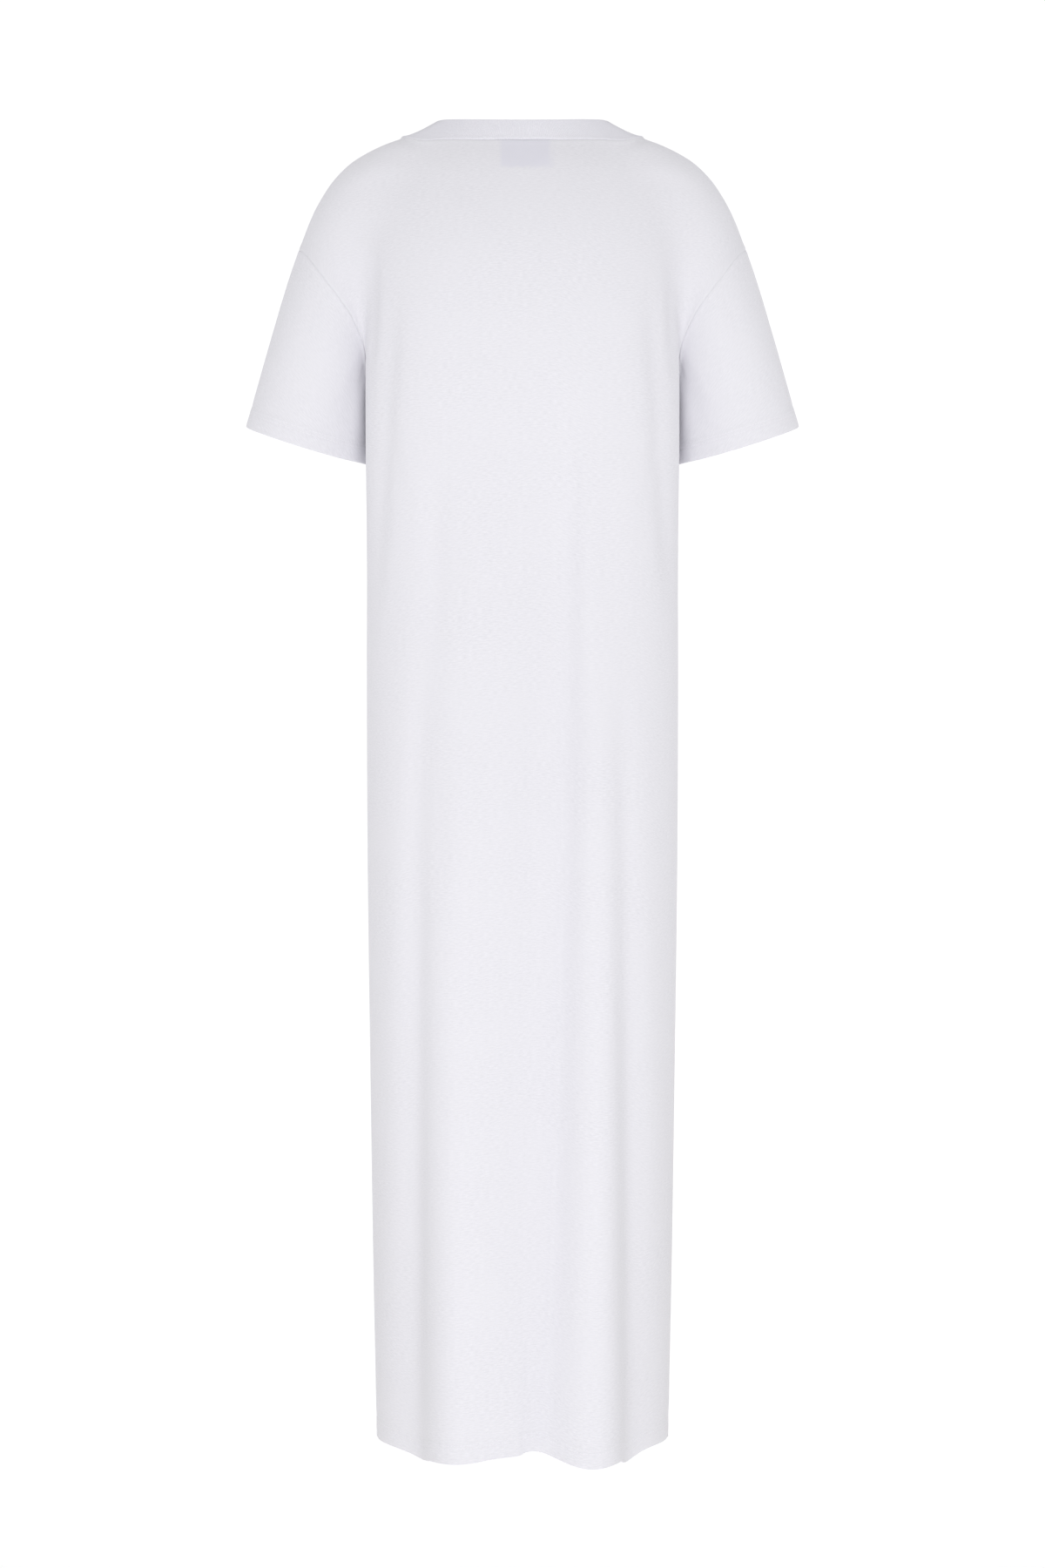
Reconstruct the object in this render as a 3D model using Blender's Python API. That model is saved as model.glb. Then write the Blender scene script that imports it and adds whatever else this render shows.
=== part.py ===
"""A long T-shirt dress, filled out as worn. The wearer faces +Y, so the back of the dress faces -Y.

Run with: blender --background --python part.py
The origin is where the wearer's shoulders hold it: between the two neck points, where the
shoulder seams meet the neckband. Units are metres.
"""

from collections import namedtuple

import bmesh
import bpy
import numpy as np

# Cloth
WALL = 0.0015
HEM_WALL = 0.0027
BAND_WALL = 0.0024
SEAM_GAP = 0.0004
SEAM_GROOVE = 0.0003
HEM_DEPTH = 0.020

# Levels and places on the body
HEM_LEVEL = -1.344
UNDERARM_LEVEL = -0.262
YOKE_LEVEL = -0.420
SIDE_FORWARD = 0.010
SIDE_FORWARD_FROM = -0.800
NECK_HALF_WIDTH = 0.1250
NECK_FRONT_DEPTH = 0.090
NECK_BACK_DROP = 0.019
NECK_FRONT_DROP = 0.094
NECK_SIDE_DROP = 0.0032
BAND_HALF_WIDTH = 0.0870
BAND_BACK_DEPTH = 0.0545
BAND_FRONT_DEPTH = 0.0755
BAND_SIDE_RISE = 0.0142
BAND_DIP = 0.003
BAND_BACK_RISE = 0.0040
BAND_FRONT_DROP = 0.0760
LABEL_WIDTH = 0.050
LABEL_MIDDLE = 0.004
LABEL_DROP = 0.031
LABEL_WALL = 0.001
LABEL_GAP = 0.0012
LABEL_BELOW_SEAM = 0.001
LABEL_BOW = 0.00125
# How late each neck curve rises from its middle to the neck point
NECK_CURVE = 1.4
BAND_BACK_CURVE = 1.6

# Grid sizes
HALF_COLUMNS = 18
NECK_COLUMNS = 8
ARMHOLE_ROWS = 13
YOKE_SIDE_ROWS = 6
BODY_ROWS = 15
SLEEVE_ROWS = 6
BAND_ROWS = 3
LABEL_COLUMNS = 6
LABEL_ROWS = 4
EVEN_STEPS = 60
SEAM_STEPS = 120
RING_STEPS = 480
SLOPE_STEP = 1e-5
TINY = 1e-6
# Where a point starts before it is settled on the worn form
ROUGH_DEPTH = 0.1

# The level sections of the body. pinch is how far the side seam is pressed in beside the arm.
Section = namedtuple("Section", "z half_width back front square pinch")
TORSO = [
    Section(-1.360, 0.1505, 0.136, 0.124, 1.60, 0.000),
    Section(-1.200, 0.1535, 0.136, 0.122, 1.85, 0.000),
    Section(-0.950, 0.1570, 0.135, 0.119, 2.30, 0.000),
    Section(-0.730, 0.1595, 0.134, 0.118, 2.60, 0.000),
    Section(-0.560, 0.1608, 0.126, 0.120, 2.75, 0.010),
    Section(-0.430, 0.1625, 0.122, 0.125, 2.85, 0.040),
    Section(-0.340, 0.1640, 0.123, 0.129, 2.95, 0.078),
    Section(-0.250, 0.1640, 0.125, 0.129, 3.00, 0.080),
    Section(-0.180, 0.1640, 0.122, 0.120, 2.90, 0.060),
    Section(-0.120, 0.1680, 0.112, 0.104, 2.60, 0.020),
    Section(-0.075, 0.1720, 0.096, 0.088, 2.35, 0.000),
    Section(-0.040, 0.1660, 0.078, 0.072, 2.20, 0.000),
    Section(-0.018, 0.1480, 0.062, 0.058, 2.10, 0.000),
    Section(0.000, 0.1150, 0.052, 0.046, 2.00, 0.000),
    Section(0.030, 0.0700, 0.040, 0.030, 2.00, 0.000),
]
SHARP_BLEND = 0.003
SOFT_BLEND = 0.030
BLEND_RISE = 0.15
ARM_CLEARANCE = 0.004
PINCH_CENTRE = 0.012
PINCH_WIDTH = 0.040

# The shoulder and arm, measured along and square to the sleeve's straight outer edge.
# outer and inner are how far the arm's two edges lie from that line.
ArmSection = namedtuple("ArmSection", "along outer inner half_depth forward")
ARM = [
    ArmSection(-0.150, -0.0930, -0.120, 0.030, 0.000),
    ArmSection(-0.118, -0.0485, -0.120, 0.046, 0.002),
    ArmSection(-0.098, -0.0255, -0.119, 0.052, 0.004),
    ArmSection(-0.079, -0.0135, -0.118, 0.056, 0.006),
    ArmSection(-0.050, -0.0045, -0.117, 0.060, 0.008),
    ArmSection(0.000, 0.0005, -0.116, 0.063, 0.010),
    ArmSection(0.100, 0.0015, -0.117, 0.062, 0.012),
    ArmSection(0.150, 0.0008, -0.124, 0.057, 0.014),
    ArmSection(0.199, 0.0003, -0.133, 0.053, 0.015),
]
ARM_TIP = (0.2309, -0.117)
ARM_LEAN_DEG = 17.1
CUFF_ALONG = 0.1985
CUFF_TILT_DEG = 9.0
# The sleeve's rings are placed by their share of the way from the armhole to the cuff.
SLEEVE_MEAN_LENGTH = 0.155
FIRST_RING = 0.05
SECOND_RING = 0.16

# The armhole seam at the back and at the front, from the underarm up to the shoulder tip. Its lower
# part lies in the crease between the arm and the body.
SeamPoint = namedtuple("SeamPoint", "x y z")
ARMHOLE_BACK = [
    SeamPoint(0.1510, 0.010, -0.262),
    SeamPoint(0.1565, -0.014, -0.250),
    SeamPoint(0.1610, -0.033, -0.226),
    SeamPoint(0.1750, -0.048, -0.193),
    SeamPoint(0.1960, -0.049, -0.163),
    SeamPoint(0.2200, -0.030, -0.130),
    SeamPoint(0.2315, 0.008, -0.117),
]
ARMHOLE_FRONT = [
    SeamPoint(0.1510, 0.010, -0.262),
    SeamPoint(0.1565, 0.034, -0.250),
    SeamPoint(0.1610, 0.053, -0.226),
    SeamPoint(0.1750, 0.068, -0.193),
    SeamPoint(0.1960, 0.069, -0.163),
    SeamPoint(0.2200, 0.050, -0.130),
    SeamPoint(0.2315, 0.008, -0.117),
]
# The back of the neck seam, from its middle to the neck point. It looks straight from behind.
BACK_NECK = [
    SeamPoint(0.0000, -0.0622, -NECK_BACK_DROP),
    SeamPoint(0.0400, -0.0602, -0.0180),
    SeamPoint(0.0800, -0.0520, -0.0160),
    SeamPoint(0.1060, -0.0460, -0.0145),
    SeamPoint(0.1190, -0.0340, -0.0115),
    SeamPoint(0.1240, -0.0170, -0.0075),
    SeamPoint(NECK_HALF_WIDTH, 0.000, -NECK_SIDE_DROP),
]
# The shoulder seam, from the neck point out to the shoulder tip.
SHOULDER = [
    SeamPoint(NECK_HALF_WIDTH, 0.000, -NECK_SIDE_DROP),
    SeamPoint(0.1400, 0.004, -0.0095),
    SeamPoint(0.1690, 0.007, -0.0235),
    SeamPoint(0.1950, 0.008, -0.045),
    SeamPoint(0.2093, 0.008, -0.067),
    SeamPoint(0.2201, 0.008, -0.088),
    SeamPoint(0.2315, 0.008, -0.117),
]

# Soft folds. Each runs from its high end to its low end, and depth is how far it is pressed in:
# a trough is positive, a ridge negative. lean over 1 makes its side towards -X the gentler one.
# sharp says how late it deepens on its way down. The fades are the shares of its length over which
# it starts and, where it doesn't run out at the hem, ends.
FADE_IN, FADE_OUT = 0.25, 0.40
Fold = namedtuple("Fold", "x_high x_low z_high z_low depth width_high width_low lean sharp")
BACK_FOLDS = [
    Fold(0.046, 0.021, -0.170, -1.344, 0.034, 0.019, 0.040, 1.50, 0.75),
    Fold(-0.070, -0.070, -0.420, -1.344, -0.010, 0.024, 0.026, 1.00, 1.00),
    Fold(0.084, 0.080, -0.420, -1.344, -0.013, 0.018, 0.026, 1.00, 1.00),
    Fold(-0.100, -0.117, -0.460, -1.344, 0.015, 0.010, 0.020, 1.00, 0.90),
    Fold(0.096, 0.117, -0.480, -1.344, 0.015, 0.010, 0.020, 1.00, 0.90),
    Fold(0.053, 0.038, -0.300, -1.344, 0.007, 0.010, 0.010, 1.00, 0.80),
    Fold(-0.127, -0.152, -0.150, -0.540, 0.004, 0.011, 0.009, 1.00, 0.00),
    Fold(0.127, 0.152, -0.150, -0.540, 0.004, 0.011, 0.009, 1.00, 0.00),
    Fold(-0.086, -0.098, -0.330, -0.760, 0.002, 0.014, 0.016, 1.00, 0.00),
]
FRONT_FOLDS = [
    Fold(-0.024, -0.018, -0.330, -1.344, 0.036, 0.020, 0.040, 0.75, 1.40),
    Fold(0.058, 0.066, -0.430, -1.344, 0.014, 0.014, 0.024, 1.00, 1.00),
    Fold(0.026, 0.026, -0.480, -1.344, -0.008, 0.016, 0.022, 1.00, 1.00),
    Fold(-0.102, -0.107, -0.520, -1.344, 0.011, 0.010, 0.018, 1.00, 0.90),
    Fold(0.104, 0.110, -0.560, -1.344, 0.009, 0.010, 0.017, 1.00, 0.90),
    Fold(-0.127, -0.150, -0.160, -0.520, 0.004, 0.011, 0.009, 1.00, 0.00),
    Fold(0.127, 0.150, -0.160, -0.520, 0.004, 0.011, 0.009, 1.00, 0.00),
]
# Where the hem hangs lower or higher than level, and how far up the cloth that is felt.
HemWave = namedtuple("HemWave", "x drop width")
BACK_HEM = [
    HemWave(-0.113, 0.008, 0.018),
    HemWave(-0.030, -0.004, 0.022),
    HemWave(0.016, -0.009, 0.032),
    HemWave(0.060, 0.005, 0.022),
    HemWave(0.115, 0.011, 0.015),
]
FRONT_HEM = [HemWave(-0.020, -0.005, 0.036), HemWave(0.090, 0.002, 0.030)]
HEM_WAVE_REACH = 0.30

JERSEY_COLOUR = (0.80, 0.79, 0.83)
RIB_COLOUR = (0.79, 0.78, 0.83)
TAPE_COLOUR = (0.62, 0.64, 0.74)
CLOTH_ROUGHNESS = 0.92
TAPE_ROUGHNESS = 0.6

BACK, FRONT = -1, 1
UPRIGHT, STRAIGHT_IN, ALL_WAYS = (0, 0, 1), (0, 1, 0), (1, 1, 1)


def column(table, name):
    return np.array([getattr(row, name) for row in table])


def smooth(at, known, values):
    """A cubic through the known values, each slope taken from its two neighbours."""
    slope = np.gradient(values, known)
    low = np.clip(np.searchsorted(known, at) - 1, 0, len(known) - 2)
    step = known[low + 1] - known[low]
    t = np.clip((at - known[low]) / step, 0, 1)
    start = (2 * t**3 - 3 * t**2 + 1) * values[low] + (t**3 - 2 * t**2 + t) * step * slope[low]
    end = (3 * t**2 - 2 * t**3) * values[low + 1] + (t**3 - t**2) * step * slope[low + 1]
    return start + end


def ease(t):
    t = np.clip(t, 0, 1)
    return t * t * (3 - 2 * t)


def pinch(y, z):
    """How much narrower the body is at depth y, where the arm presses its side in."""
    share = smooth(np.asarray(z), column(TORSO, "z"), column(TORSO, "pinch"))
    return 1 - share * np.exp(-(((y - PINCH_CENTRE) / PINCH_WIDTH) ** 2))


def torso_gap(points):
    """How far out, in plan, each point is from the body's level section."""
    x, y, z = np.moveaxis(points, -1, 0)
    known = column(TORSO, "z")
    width = smooth(z, known, column(TORSO, "half_width")) * pinch(y, z)
    back = smooth(z, known, column(TORSO, "back"))
    front = smooth(z, known, column(TORSO, "front"))
    square = smooth(z, known, column(TORSO, "square"))
    depth = np.where(y < 0, back, front)
    reach = ((np.abs(x) / width) ** square + (np.abs(y) / depth) ** square) ** (1 / square)
    return (1 - 1 / np.maximum(reach, TINY)) * np.hypot(x, y)


def arm_gap(points):
    """How far out each point is from the arm's oval section, square to the sleeve."""
    x, y, z = np.moveaxis(points, -1, 0)
    lean = np.radians(ARM_LEAN_DEG)
    out, up = np.abs(x) - ARM_TIP[0], z - ARM_TIP[1]
    along = out * np.sin(lean) - up * np.cos(lean)
    across = out * np.cos(lean) + up * np.sin(lean)
    known = column(ARM, "along")
    outer = smooth(along, known, column(ARM, "outer"))
    inner = smooth(along, known, column(ARM, "inner"))
    half_depth = smooth(along, known, column(ARM, "half_depth"))
    forward = smooth(along, known, column(ARM, "forward"))
    across, y = across - (outer + inner) / 2, y - forward
    reach = np.hypot(across / ((outer - inner) / 2), y / half_depth)
    return (1 - 1 / np.maximum(reach, TINY)) * np.hypot(across, y)


def worn_gap(points):
    """The body and the arm run together, softly at the shoulder and sharply at the underarm."""
    torso, arm = torso_gap(points), arm_gap(points)
    softness = ease((points[..., 2] - UNDERARM_LEVEL) / BLEND_RISE)
    blend = SHARP_BLEND + (SOFT_BLEND - SHARP_BLEND) * softness
    share = np.clip(0.5 + 0.5 * (torso - arm) / blend, 0, 1)
    return torso + (arm - torso) * share - blend * share * (1 - share)


def outward(points, gap=worn_gap):
    """A form's slope at each point, by small steps along each axis."""
    moves = np.eye(3) * SLOPE_STEP
    return np.stack([gap(points + m) - gap(points - m) for m in moves], -1) / (2 * SLOPE_STEP)


def settle(points, steps=10, gap=worn_gap, furthest=0.01, axes=ALL_WAYS):
    """Moves each point square onto a form, or only along the axes given."""
    for _ in range(steps):
        slope = outward(points, gap) * axes
        move = -slope * (gap(points) / np.maximum((slope**2).sum(-1), TINY))[..., None]
        length = np.linalg.norm(move, axis=-1, keepdims=True)
        points = points + move * np.minimum(1, furthest / np.maximum(length, TINY**2))
    return points


def even(points, count):
    """count + 1 points spread evenly along a line of points."""
    steps = np.linalg.norm(np.diff(points, axis=0), axis=1)
    run = np.concatenate([[0], np.cumsum(steps)])
    at = np.linspace(0, run[-1], count + 1)
    return np.stack([np.interp(at, run, points[:, k]) for k in range(3)], axis=1)


def seam_line(table, count, axes=ALL_WAYS):
    """count + 1 even points along a smooth curve through a seam's points, settled on the worn form."""
    points = np.array(table)
    run = np.concatenate([[0], np.cumsum(np.linalg.norm(np.diff(points, axis=0), axis=1))])
    at = np.linspace(0, run[-1], SEAM_STEPS + 1)
    line = np.stack([smooth(at, run, points[:, k]) for k in range(3)], axis=1)
    return even(settle(line, axes=axes), count)


def shoulder_line(count):
    return seam_line(SHOULDER, count)


def armhole_line(side, count):
    """One half of the armhole, from the underarm up to the shoulder tip."""
    line = seam_line(ARMHOLE_BACK if side == BACK else ARMHOLE_FRONT, count)
    line[0], line[-1] = side_seam([UNDERARM_LEVEL])[0], shoulder_line(1)[-1]
    return line


def neck_line(side, count, half_width, depth, centre_z, side_z, power):
    """Half of an oval about the neck, from its middle to the neck point."""
    turn = np.linspace(0, np.pi / 2, count + 1)
    z = side_z + (centre_z - side_z) * np.cos(turn) ** power
    return np.stack([half_width * np.sin(turn), side * depth * np.cos(turn), z], axis=1)


def neck_seam(side, count):
    back = seam_line(BACK_NECK, count, UPRIGHT)
    if side == BACK:
        return back
    front = (NECK_HALF_WIDTH, NECK_FRONT_DEPTH, -NECK_FRONT_DROP, -NECK_SIDE_DROP, NECK_CURVE)
    line = settle(neck_line(FRONT, SEAM_STEPS, *front)[:-1])
    return even(np.append(line, back[-1:], axis=0), count)


def ring_half(side, z, count):
    """A level section of one panel, from its middle to the side seam, spread evenly."""
    known = column(TORSO, "z")
    width, back, front, square = (smooth(z, known, column(TORSO, name)) for name in TORSO[0]._fields[1:5])
    turn = np.linspace(0, np.pi, RING_STEPS + 1)
    y = np.where(turn < np.pi / 2, -back, front) * np.abs(np.cos(turn)) ** (2 / square)
    x = width * np.sin(turn) ** (2 / square) * pinch(y, z)
    line = np.stack([x, y, y * 0 + z], axis=1)
    seam_y = SIDE_FORWARD * ease((z - SIDE_FORWARD_FROM) / (UNDERARM_LEVEL - SIDE_FORWARD_FROM))
    seam = [np.interp(seam_y, y, x), seam_y, z]
    kept = line[y < seam_y] if side == BACK else line[y > seam_y][::-1]
    return even(np.append(kept, [seam], axis=0), count)


def side_seam(levels):
    """The side seam's points at these levels, from the low one up."""
    return np.array([ring_half(BACK, z, 1)[-1] for z in levels])


def yoke(side):
    """Half of a panel above YOKE_LEVEL. Its edges are a level section, the middle of the panel, the
    side seam with the armhole, and the neck with the shoulder. It is a patch blended from the four
    edges, evened out and settled on the worn form."""
    n, rows = HALF_COLUMNS, YOKE_SIDE_ROWS + ARMHOLE_ROWS
    low = ring_half(side, YOKE_LEVEL, n)
    high = np.concatenate([neck_seam(side, NECK_COLUMNS), shoulder_line(n - NECK_COLUMNS)[1:]])
    up_side = side_seam(np.linspace(YOKE_LEVEL, UNDERARM_LEVEL, YOKE_SIDE_ROWS + 1))
    edge = np.concatenate([up_side[:-1], armhole_line(side, ARMHOLE_ROWS)])
    levels = np.linspace(YOKE_LEVEL, high[0, 2], rows + 1)
    middle = settle(np.stack([levels * 0, levels * 0 + side * ROUGH_DEPTH, levels], axis=1))
    middle[0], middle[-1] = low[0], high[0]
    u = np.linspace(0, 1, n + 1)[None, :, None]
    v = np.linspace(0, 1, rows + 1)[:, None, None]
    patch = (1 - v) * low + v * high + (1 - u) * middle[:, None] + u * edge[:, None]
    patch -= (1 - v) * ((1 - u) * low[0] + u * low[-1]) + v * ((1 - u) * high[0] + u * high[-1])
    for _ in range(EVEN_STEPS):
        inner = patch[2:, 1:-1] + patch[:-2, 1:-1] + patch[1:-1, 2:] + patch[1:-1, :-2]
        patch[1:-1, 1:-1] = settle(inner / 4, steps=2)
    return patch


def body(side):
    """Half of a panel below YOKE_LEVEL, rows from the hem up."""
    levels = np.linspace(HEM_LEVEL + HEM_DEPTH, YOKE_LEVEL, BODY_ROWS)
    levels = np.concatenate([[HEM_LEVEL], levels])[:-1]
    return np.stack([ring_half(side, z, HALF_COLUMNS) for z in levels])


def fold_depth(x, z, folds):
    """How far the folds press the cloth in, at each place seen from behind."""
    depth = np.zeros_like(x)
    for fold in folds:
        t = np.clip((fold.z_high - z) / (fold.z_high - fold.z_low), 0, 1)
        middle = fold.x_high + (fold.x_low - fold.x_high) * t
        width = fold.width_high + (fold.width_low - fold.width_high) * t
        width = width * fold.lean ** -np.tanh(2 * (x - middle) / width)
        fade = ease(t / FADE_IN)
        if fold.z_low > HEM_LEVEL:
            fade *= ease((1 - t) / FADE_OUT)
        depth += fold.depth * t**fold.sharp * fade * np.exp(-(((x - middle) / width) ** 2))
    return depth


def hem_drop(x, z, waves):
    """How far the cloth near the hem hangs below level."""
    share = ease((HEM_LEVEL + HEM_WAVE_REACH - z) / HEM_WAVE_REACH)
    return share * sum(wave.drop * np.exp(-(((x - wave.x) / wave.width) ** 2)) for wave in waves)


def grid_normals(grid, closed=False):
    """The cloth's own outward direction at each point of a grid, from its neighbours."""
    if closed:
        across = np.roll(grid, -1, axis=1) - np.roll(grid, 1, axis=1)
    else:
        across = np.gradient(grid, axis=1)
    normals = np.cross(across, np.gradient(grid, axis=0))
    return normals / np.linalg.norm(normals, axis=-1, keepdims=True)


def panel(side):
    """The outer points of the front or back panel, its normals and its wall, rows from the hem up."""
    half = np.concatenate([body(side), yoke(side)])
    whole = np.concatenate([half[:, :0:-1] * [-1, 1, 1], half], axis=1)
    form = outward(whole)
    form /= np.linalg.norm(form, axis=-1, keepdims=True)
    folds, waves = (BACK_FOLDS, BACK_HEM) if side == BACK else (FRONT_FOLDS, FRONT_HEM)
    x, z = whole[..., 0], whole[..., 2]
    drop = hem_drop(x, z, waves)
    whole = whole - form * fold_depth(x, z, folds)[..., None]
    whole[..., 2] -= drop
    normals = grid_normals(whole) * -side
    side_rows = BODY_ROWS + YOKE_SIDE_ROWS + 1
    normals[:side_rows, [0, -1]] = outward(whole[:side_rows, [0, -1]], torso_gap)
    normals[-1] = form[-1]
    normals /= np.linalg.norm(normals, axis=-1, keepdims=True)
    wall = np.full(whole.shape[:2], WALL)
    wall[:2] = HEM_WALL
    sewn = [(np.s_[:, 0], np.s_[:, 1]), (np.s_[:, -1], np.s_[:, -2]), (np.s_[-1], np.s_[-2])]
    return draw_in(whole, normals, sewn), normals, wall


def draw_in(grid, normals, edges):
    """Moves sewn edges back from the seam and a little inwards, so that neighbours stay apart."""
    moved = grid.copy()
    for edge, next_in in edges:
        away = grid[next_in] - grid[edge]
        away /= np.linalg.norm(away, axis=-1, keepdims=True)
        moved[edge] += away * SEAM_GAP / 2 - normals[edge] * SEAM_GROOVE
    return moved


def sleeve(side_x):
    """A sleeve as rows of rings, from the armhole to the cuff."""
    back, front = armhole_line(BACK, ARMHOLE_ROWS), armhole_line(FRONT, ARMHOLE_ROWS)
    first = np.concatenate([back, front[-2:0:-1]])
    lean = np.radians(ARM_LEAN_DEG)
    turn = np.linspace(0, 2 * np.pi, 2 * ARMHOLE_ROWS, endpoint=False)
    end = ARM[-1]
    across = (end.outer + end.inner) / 2 - (end.outer - end.inner) / 2 * np.cos(turn)
    down = np.array([np.sin(lean), 0, -np.cos(lean)])
    out = np.array([np.cos(lean), 0, np.sin(lean)])
    last = np.array([ARM_TIP[0], end.forward, ARM_TIP[1]]) + down * CUFF_ALONG
    last = last + across[:, None] * out
    last[:, 1] -= end.half_depth * np.sin(turn)
    lift = end.half_depth * (1 - np.sin(turn)) * np.tan(np.radians(CUFF_TILT_DEG))
    last -= lift[:, None] * down
    shares = np.linspace(SECOND_RING, 1 - HEM_DEPTH / SLEEVE_MEAN_LENGTH, SLEEVE_ROWS)
    share = np.concatenate([[0, FIRST_RING], shares, [1]])[:, None, None]
    grid = (1 - share) * first + share * last
    grid[1:-1] = settle(grid[1:-1], gap=arm_gap)
    clearance = ARM_CLEARANCE * np.sqrt(np.minimum(share[1:, :, 0] / SECOND_RING, 1))
    grid[1:] += outward(grid[1:], torso_gap) * np.maximum(clearance - torso_gap(grid[1:]), 0)[..., None]
    normals = -grid_normals(grid, closed=True)
    grid = draw_in(grid, normals, [(0, 1)])
    wall = np.full(grid.shape[:2], WALL)
    wall[-2:] = HEM_WALL
    mirror = np.array([side_x, 1, 1])
    return grid * mirror, normals * mirror, wall


def dipped(grid, share):
    """The band's sides dip between its two edges, where it turns up from the shoulder."""
    dip = BAND_DIP * 4 * share * (1 - share) * (grid[..., :1] / NECK_HALF_WIDTH) ** 2
    return grid - grid_normals(grid, closed=True) * dip


def neckband():
    """The neckband as rows of rings, from the neck seam up to its top edge."""
    count = NECK_COLUMNS
    back, front = neck_seam(BACK, count), neck_seam(FRONT, count)
    right = np.concatenate([back, front[-2::-1]])
    back_shape = (BAND_HALF_WIDTH, BAND_BACK_DEPTH, BAND_BACK_RISE, BAND_SIDE_RISE, BAND_BACK_CURVE)
    top_back = neck_line(BACK, count, *back_shape)
    front_shape = (BAND_HALF_WIDTH, BAND_FRONT_DEPTH, -BAND_FRONT_DROP, BAND_SIDE_RISE, NECK_CURVE)
    top_front = neck_line(FRONT, count, *front_shape)
    top = np.concatenate([top_back, top_front[-2::-1]])
    lines = [np.concatenate([line, line[-2:0:-1] * [-1, 1, 1]]) for line in (right, top)]
    share = np.linspace(0, 1, BAND_ROWS + 1)[:, None, None]
    grid = dipped((1 - share) * lines[0] + share * lines[1], share)
    normals = grid_normals(grid, closed=True)
    form = outward(grid[0])
    normals[0] = form / np.linalg.norm(form, axis=-1, keepdims=True)
    return draw_in(grid, normals, [(0, 1)]), normals, np.full(grid.shape[:2], BAND_WALL)


def label():
    """The neck label, hanging inside the back of the neck: the worn form, moved in past the back's wall."""
    across = np.linspace(-1, 1, LABEL_COLUMNS + 1)[None, :]
    top = -NECK_BACK_DROP - LABEL_BELOW_SEAM + LABEL_BOW * across**2
    z = top - LABEL_DROP * np.linspace(1, 0, LABEL_ROWS + 1)[:, None]
    x = z * 0 + LABEL_MIDDLE + across * LABEL_WIDTH / 2
    grid = settle(np.stack([x, z * 0 - ROUGH_DEPTH, z], axis=-1), axes=STRAIGHT_IN)
    normals = outward(grid)
    normals /= np.linalg.norm(normals, axis=-1, keepdims=True)
    return grid - normals * (WALL + LABEL_GAP), normals, np.full(z.shape, LABEL_WALL)


def material(name, colour, roughness):
    made = bpy.data.materials.new(name)
    made.use_nodes = True
    shader = made.node_tree.nodes["Principled BSDF"]
    shader.inputs["Base Color"].default_value = (*colour, 1)
    shader.inputs["Roughness"].default_value = roughness
    return made


def quads(rows, columns, closed):
    """The corner numbers of each square of a grid numbered row by row."""
    wide = columns if closed else columns - 1
    row, col = np.meshgrid(np.arange(rows - 1), np.arange(wide), indexing="ij")
    beside = (col + 1) % columns
    low, high = row * columns, (row + 1) * columns
    corners = [low + col, low + beside, high + beside, high + col]
    return np.stack([c.ravel() for c in corners], axis=1)


def rim(rows, columns, closed):
    """The corner numbers round the open edges of a grid, as runs of neighbours."""
    first, last = np.arange(columns), np.arange(columns) + (rows - 1) * columns
    if closed:
        return [np.append(first, first[0]), np.append(last, last[0])]
    left, right = np.arange(rows) * columns, np.arange(rows) * columns + columns - 1
    return [np.concatenate([first, right[1:], last[-2::-1], left[-2::-1]])]


def make_wall(name, shape, cloth, collection, closed=False):
    """A closed wall: the outer points, the inner points a wall's thickness in, and their rims."""
    outer, normals, thickness = shape
    inner = outer - normals * thickness[..., None]
    rows, columns = outer.shape[:2]
    count = rows * columns
    outside = quads(rows, columns, closed)
    faces = [outside, outside[:, ::-1] + count]
    for run in rim(rows, columns, closed):
        a, b = run[:-1], run[1:]
        faces.append(np.stack([b, a, a + count, b + count], axis=1))
    mesh = bpy.data.meshes.new(name)
    points = np.concatenate([outer.reshape(-1, 3), inner.reshape(-1, 3)])
    mesh.from_pydata(points.tolist(), [], np.concatenate(faces).tolist())
    turned = bmesh.new()
    turned.from_mesh(mesh)
    bmesh.ops.recalc_face_normals(turned, faces=turned.faces)
    turned.to_mesh(mesh)
    turned.free()
    mesh.materials.append(cloth)
    mesh.shade_smooth()
    made = bpy.data.objects.new(name, mesh)
    collection.objects.link(made)
    return made


def main():
    for old in list(bpy.data.objects):
        bpy.data.objects.remove(old)
    dress = bpy.data.collections.new("t_shirt_dress")
    bpy.context.scene.collection.children.link(dress)
    jersey = material("white_cotton_jersey", JERSEY_COLOUR, CLOTH_ROUGHNESS)
    rib = material("white_cotton_rib", RIB_COLOUR, CLOTH_ROUGHNESS)
    tape = material("blank_label_tape", TAPE_COLOUR, TAPE_ROUGHNESS)
    make_wall("back_panel", panel(BACK), jersey, dress)
    make_wall("front_panel", panel(FRONT), jersey, dress)
    make_wall("right_sleeve", sleeve(1), jersey, dress, closed=True)
    make_wall("left_sleeve", sleeve(-1), jersey, dress, closed=True)
    make_wall("neckband", neckband(), rib, dress, closed=True)
    make_wall("neck_label", label(), tape, dress)


main()
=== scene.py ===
"""A white long T-shirt dress, filled out as worn and seen from behind, in a plain studio.

Units are metres. The wearer faces +Y, so the back faces -Y and the camera looks along +Y. The tables
of sections, seams and folds are those of part.py. Each piece here is a finer shell of cloth on the
same form, with its seams, hems, creases and stitching.
"""

from collections import namedtuple

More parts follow.
